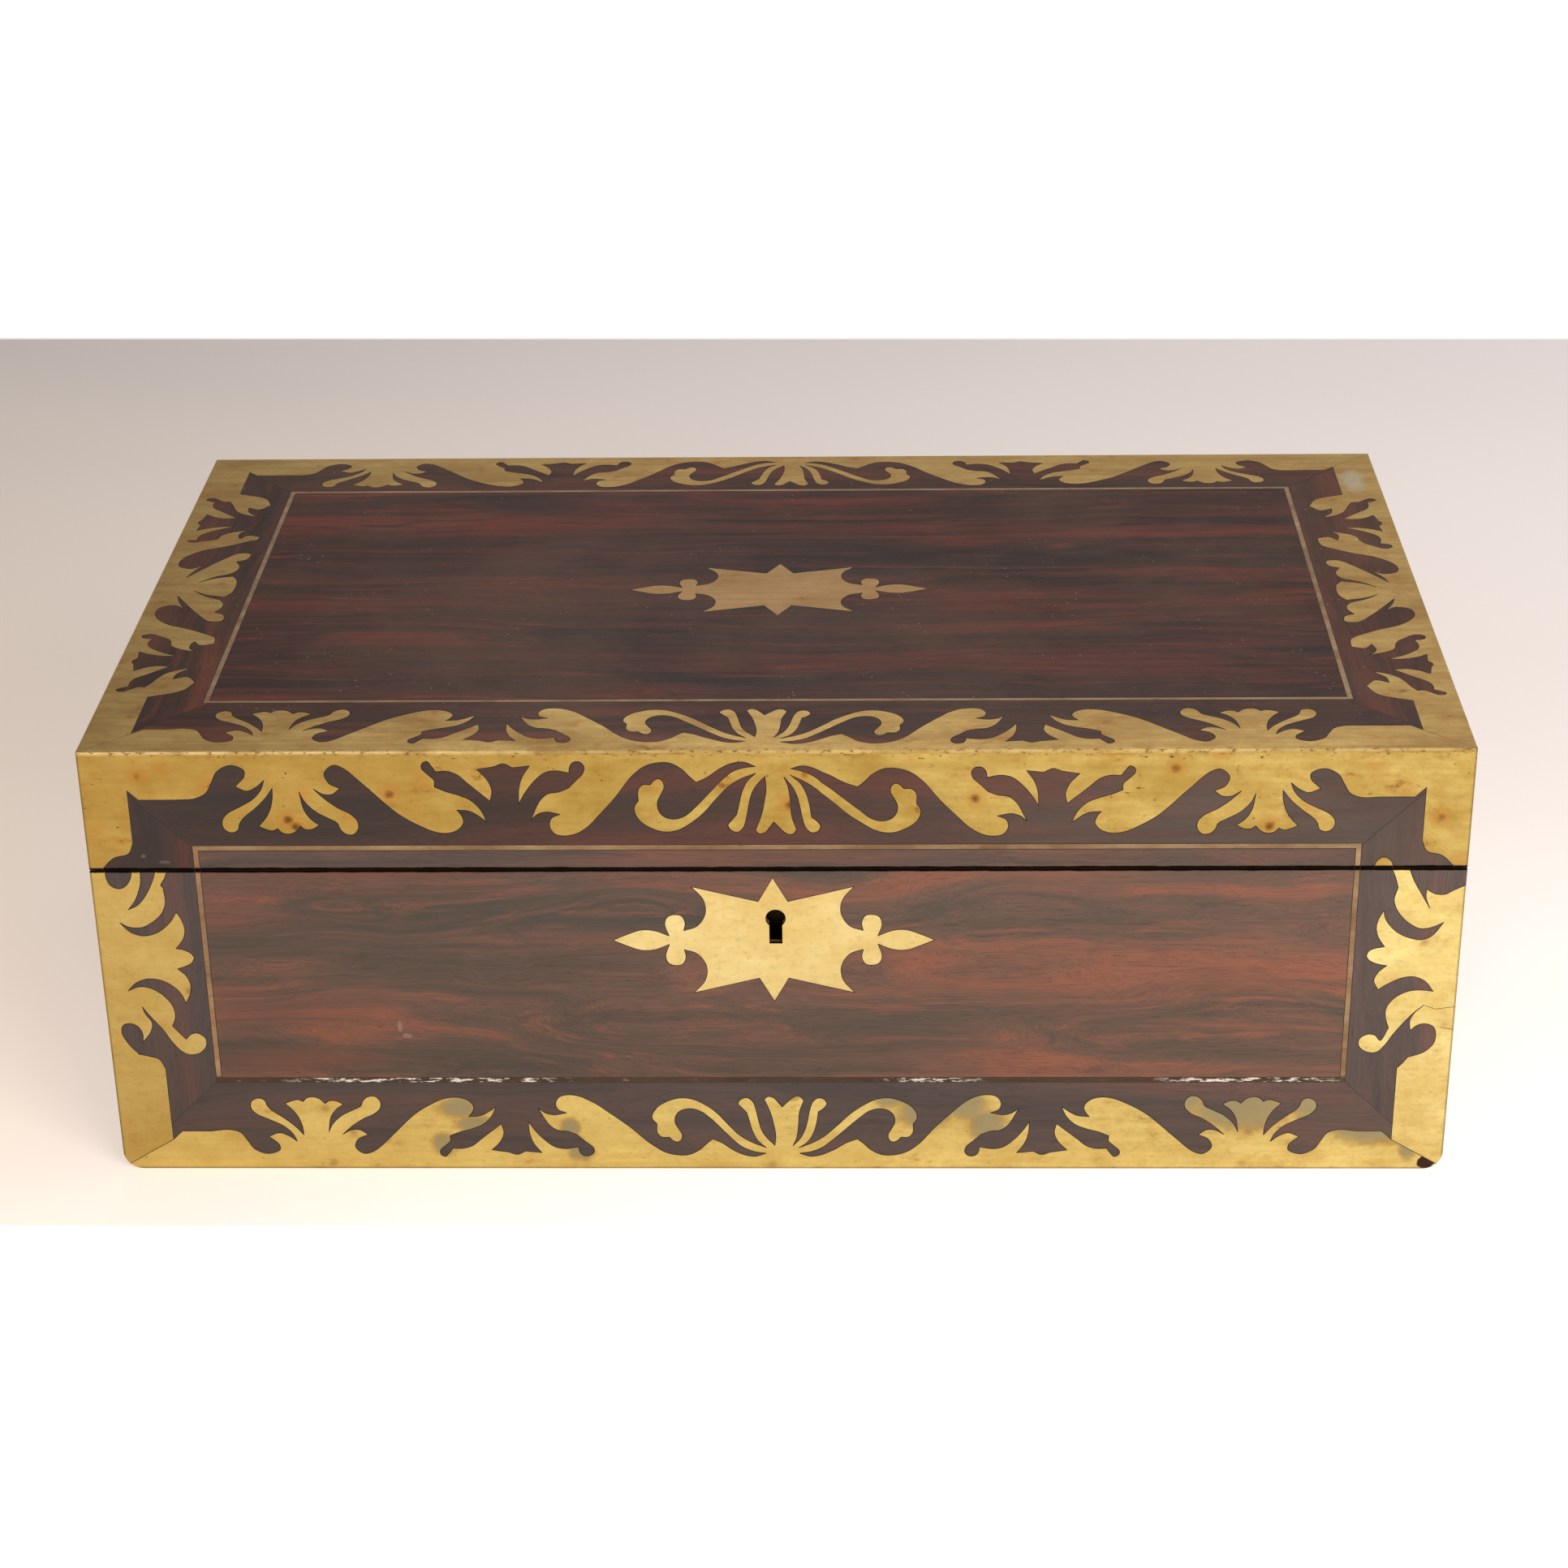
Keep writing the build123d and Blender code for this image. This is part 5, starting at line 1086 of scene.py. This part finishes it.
for name, points in (
    ("front", top_front_line + front_corners),
    ("back", top_back_line + [(a, -b) for a, b in front_corners]),
    ("right", top_right_line + side_corners),
    ("left", top_left_line + left(side_corners)),
):
    sheet("top_border_" + name + "_brass", to_top, [points], "lid", top_brass,
          ["top_border_" + name], brass_sink)
top_band = top_front_line + top_right_line[::-1][1:] + top_back_line[::-1][1:] + top_left_line[1:-1]
name_plate = plate_outline(-1.0, 0)
sheet("top_band_veneer", to_top, [top_band, rectangle(0)], "lid", top_band_wood, ["top_veneer"],
      wood_sink)
sheet("top_field_veneer", to_top, [rectangle(string_width), name_plate], "lid", top_wood, (),
      wood_sink)
sheet("top_stringing_brass", to_top, [rectangle(0), rectangle(string_width)], "lid", string_brass,
      ["top_stringing"], brass_sink)
sheet("name_plate_brass", to_top, [name_plate], "lid", name_brass, ["name_plate"], brass_sink)
front_mitre = [top_front_line[-1], (half_width, -half_depth)]
back_mitre = [top_back_line[-1], (half_width, half_depth)]
glue_line("top_glue", to_top, [top_band, rectangle(0), rectangle(string_width), name_plate], "lid", glue)
glue_line("top_mitres", to_top, [front_mitre, left(front_mitre), back_mitre, left(back_mitre)], "lid", glue,
          width=0.15)

# ---- materials of the pieces that keep their frame shape ----------------------------------------
finishes = {
    "base_front_board": carcass_x, "base_back_board": carcass_x, "base_left_board": carcass_y,
    "base_right_board": carcass_y, "base_bottom_board": carcass_x, "lid_front_board": carcass_x,
    "lid_back_board": carcass_x, "lid_left_board": carcass_y, "lid_right_board": carcass_y,
    "lid_top_board": carcass_x, "base_left_veneer": side_wood, "base_right_veneer": side_wood,
    "lid_left_veneer": side_wood, "lid_right_veneer": side_wood, "base_back_veneer": back_wood,
    "lid_back_veneer": back_wood, "base_flap_panel": mahogany_x, "lid_flap_panel": mahogany_x,
    "base_flap_leather": green_leather, "lid_flap_leather": green_leather, "base_flap_ledges": mahogany_x,
    "lid_flap_ledges": mahogany_x, "lid_front_rail": mahogany_x, "pen_partition": mahogany_x,
    "ink_well_partitions": mahogany_y, "pen_section_bearers": mahogany_x, "pen_tray": mahogany_x,
    "ink_bottles": bottle_glass, "ink_cap_left": cap_brass, "ink_cap_right": cap_brass,
    "lock_bolt": bolt_steel, "lock_case": lock_brass,
}
for name, node in nodes.items():
    material = finishes.get(name, hinge_brass)
    node.data.materials.clear()
    node.data.materials.append(material)

# ---- small work inside the case -----------------------------------------------------------------
def flat_faces(node, outward):
    """The node's widest flat face that looks that way, as corner points by the side they lie on."""
    sides = {}
    turn = node.matrix_world.to_3x3()
    for face in node.data.polygons:
        normal = (turn @ face.normal).normalized()
        if normal.dot(outward) < 0.98:
            continue
        corners = [node.matrix_world @ node.data.vertices[i].co for i in face.vertices]
        side = corners[0].x > 0
        offset = round(normal.dot(corners[0]) / mm, 1)
        group = sides.setdefault((side, offset), [0.0, [], normal])
        group[0] += face.area
        group[1] += corners
    return sides


def widest(sides, chosen):
    groups = [group for (side, offset), group in sides.items() if side in chosen]
    area, corners, normal = max(groups, key=lambda group: group[0])
    return corners, normal


def on_plane(corners, normal):
    """The plane's axes and how far the corners reach along each of them."""
    u = Vector((1, 0, 0))
    v = normal.cross(u).normalized()
    reach_u = [c.dot(u) for c in corners]
    reach_v = [c.dot(v) for c in corners]
    return u, v, (min(reach_u), max(reach_u)), (min(reach_v), max(reach_v)), normal.dot(corners[0])


def screws(name, node, body, outward, shares, chosen, radius=1.9):
    """Countersunk screw heads in a row on a brass leaf, each with its slot."""
    corners, normal = widest(flat_faces(node, outward), chosen)
    u, v, (u0, u1), (v0, v1), level = on_plane(corners, normal)
    heads, slots = bmesh.new(), bmesh.new()
    radius *= mm
    for i, share in enumerate(shares):
        middle = u * (u0 + (u1 - u0) * share) + v * ((v0 + v1) / 2) + normal * (level + 0.05 * mm)
        rim = [middle + (u * math.cos(t) + v * math.sin(t)) * radius for t in [math.tau * k / 24 for k in range(24)]]
        heads.faces.new([heads.verts.new(place) for place in rim])
        # Each slot is a flat dark strip on the head: painted shade standing for the slot's recess.
        turn = 0.5 + 1.1 * i
        along_slot = (u * math.cos(turn) + v * math.sin(turn)) * radius * 0.92
        beside_slot = (u * -math.sin(turn) + v * math.cos(turn)) * 0.3 * mm
        raised = middle + normal * 0.02 * mm
        ends = [raised - along_slot - beside_slot, raised + along_slot - beside_slot,
                raised + along_slot + beside_slot, raised - along_slot + beside_slot]
        slots.faces.new([slots.verts.new(place) for place in ends])
    for part, shape, material in (("heads", heads, hinge_brass), ("slots", slots, slot_shade)):
        mesh = bpy.data.meshes.new(name + "_" + part)
        shape.to_mesh(mesh)
        shape.free()
        new_object(name + "_" + part, mesh, body, material)


def tooling(name, node, body, outward, insets):
    """Gilt lines tooled round the edge of a leather, each as its inset and its width."""
    corners, normal = widest(flat_faces(node, outward), (True, False))
    both = [c for group in flat_faces(node, outward).values() for c in group[1]]
    u, v, (u0, u1), (v0, v1), level = on_plane(both, normal)
    bm = bmesh.new()
    for inset, width in insets:
        def ring(far):
            far *= mm
            a0, a1, b0, b1 = u0 + far, u1 - far, v0 + far, v1 - far
            return [u * a + v * b + normal * (level + 0.04 * mm) for a, b in ((a0, b0), (a1, b0), (a1, b1), (a0, b1))]
        outer, inner = ring(inset), ring(inset + width)
        for i in range(4):
            j = (i + 1) % 4
            bm.faces.new([bm.verts.new(place) for place in (outer[i], outer[j], inner[j], inner[i])])
    mesh = bpy.data.meshes.new(name)
    bm.to_mesh(mesh)
    bm.free()
    new_object(name, mesh, body, gilt)


upright_way, down_way = rim_normal, -rim_normal
for side_name, side in (("left", False), ("right", True)):
    screws("base_hinge_screws_" + side_name, nodes["base_hinge_leaves"], "base", upright_way, (0.16, 0.5, 0.84), (side,))
    screws("lid_hinge_screws_" + side_name, nodes["lid_hinge_leaves"], "lid", down_way, (0.16, 0.5, 0.84), (side,))
screws("lock_screws", nodes["lock_case"], "base", upright_way, (0.08, 0.92), (True, False), radius=1.7)
screws("link_plate_screws", nodes["lock_link_plate"], "lid", down_way, (0.08, 0.92), (True, False), radius=1.7)
tooled_lines = ((5.0, 0.5), (6.5, 1.6), (9.1, 0.5))
tooling("base_flap_tooling", nodes["base_flap_leather"], "base_flap", upright_way, tooled_lines)
tooling("lid_flap_tooling", nodes["lid_flap_leather"], "lid_flap", down_way, tooled_lines)

# ---- floor and light ----------------------------------------------------------------------------
def grid_plane(name, size, material):
    bm = bmesh.new()
    bmesh.ops.create_grid(bm, x_segments=1, y_segments=1, size=size)
    mesh = bpy.data.meshes.new(name)
    bm.to_mesh(mesh)
    bm.free()
    mesh.materials.append(material)
    made = bpy.data.objects.new(name, mesh)
    scene.collection.objects.link(made)
    return made


def floor_material():
    """Pale paper, pinkish and darker behind on the left, that runs out to white."""
    s = Shader("floor", Roughness=0.9)
    x, y, z = s.axes()
    cloud = s.noise(s.scaled(s.place, (0.004,) * 3), detail=2)
    depth = s.span(s.math("ADD", y, s.span(cloud, 0.3, 0.7, -20.0, 20.0)), -320.0, 660.0)
    on_left = s.ramp(depth, (0.0, rgb(252, 246, 242)), (0.22, rgb(234, 216, 200)), (0.5, rgb(204, 189, 174)),
                     (1.0, rgb(172, 163, 157)))
    on_right = s.ramp(depth, (0.0, rgb(252, 255, 255)), (0.3, rgb(250, 242, 236)), (0.6, rgb(224, 215, 210)),
                      (1.0, rgb(204, 195, 193)))
    near_share = s.math("MULTIPLY", s.span(x, -300.0, 0.0), s.span(depth, 0.45, 0.15))
    far_share = s.math("MULTIPLY", s.span(x, -420.0, 420.0), s.span(depth, 0.15, 0.45))
    colour = s.mix(s.math("ADD", near_share, far_share), on_left, on_right)
    white = rgb(255, 255, 255)
    beyond = s.span(s.math("ADD", y, s.math("MULTIPLY", x, 0.019)), 659.0, 664.0)
    colour = s.mix(beyond, colour, white)
    s.feed(s.bsdf.inputs["Base Color"], colour)
    path = s.add("ShaderNodeLightPath")
    seen = s.math("MAXIMUM", path.outputs["Is Camera Ray"], path.outputs["Is Glossy Ray"])
    seen = s.math("MAXIMUM", seen, path.outputs["Is Transmission Ray"])
    in_front = s.math("MULTIPLY", path.outputs["Is Camera Ray"], s.span(y, -148.9, -150.2))
    s.feed(s.bsdf.inputs["Emission Color"], s.mix(in_front, colour, white))
    near = s.span(y, -120.0, -330.0, 0.55, 0.72)
    glare = s.math("MULTIPLY", path.outputs["Is Camera Ray"], s.math("MULTIPLY", near_share, 0.14))
    strength = s.math("ADD", s.math("MULTIPLY", seen, near), glare)
    s.feed(s.bsdf.inputs["Emission Strength"], s.math("MAXIMUM", in_front, strength))
    return s.material


floor = grid_plane("floor", 6.0, floor_material())

world = bpy.data.worlds.new("studio")
scene.world = world
world.use_nodes = True
world.node_tree.nodes["Background"].inputs["Color"].default_value = rgb(196, 192, 190)
world.node_tree.nodes["Background"].inputs["Strength"].default_value = 0.55


def softbox(name, place, target, width, height, power, colour):
    light = bpy.data.lights.new(name, "AREA")
    light.shape = "RECTANGLE"
    light.size = width
    light.size_y = height
    light.energy = power
    light.color = colour
    made = bpy.data.objects.new(name, light)
    scene.collection.objects.link(made)
    made.location = place
    made.rotation_euler = (Vector(target) - Vector(place)).to_track_quat("-Z", "Y").to_euler()
    return made


softbox("key", (1.1, -1.6, 1.1), (0, 0, 0.05), 1.2, 0.9, 22, (1.0, 0.97, 0.92))
softbox("fill", (-1.3, -1.2, 0.8), (0, 0, 0.05), 1.2, 1.0, 7, (1.0, 0.96, 0.93))
softbox("back", (0.3, 1.4, 1.5), (0, 0, 0.1), 1.6, 0.8, 9, (0.97, 0.98, 1.0))
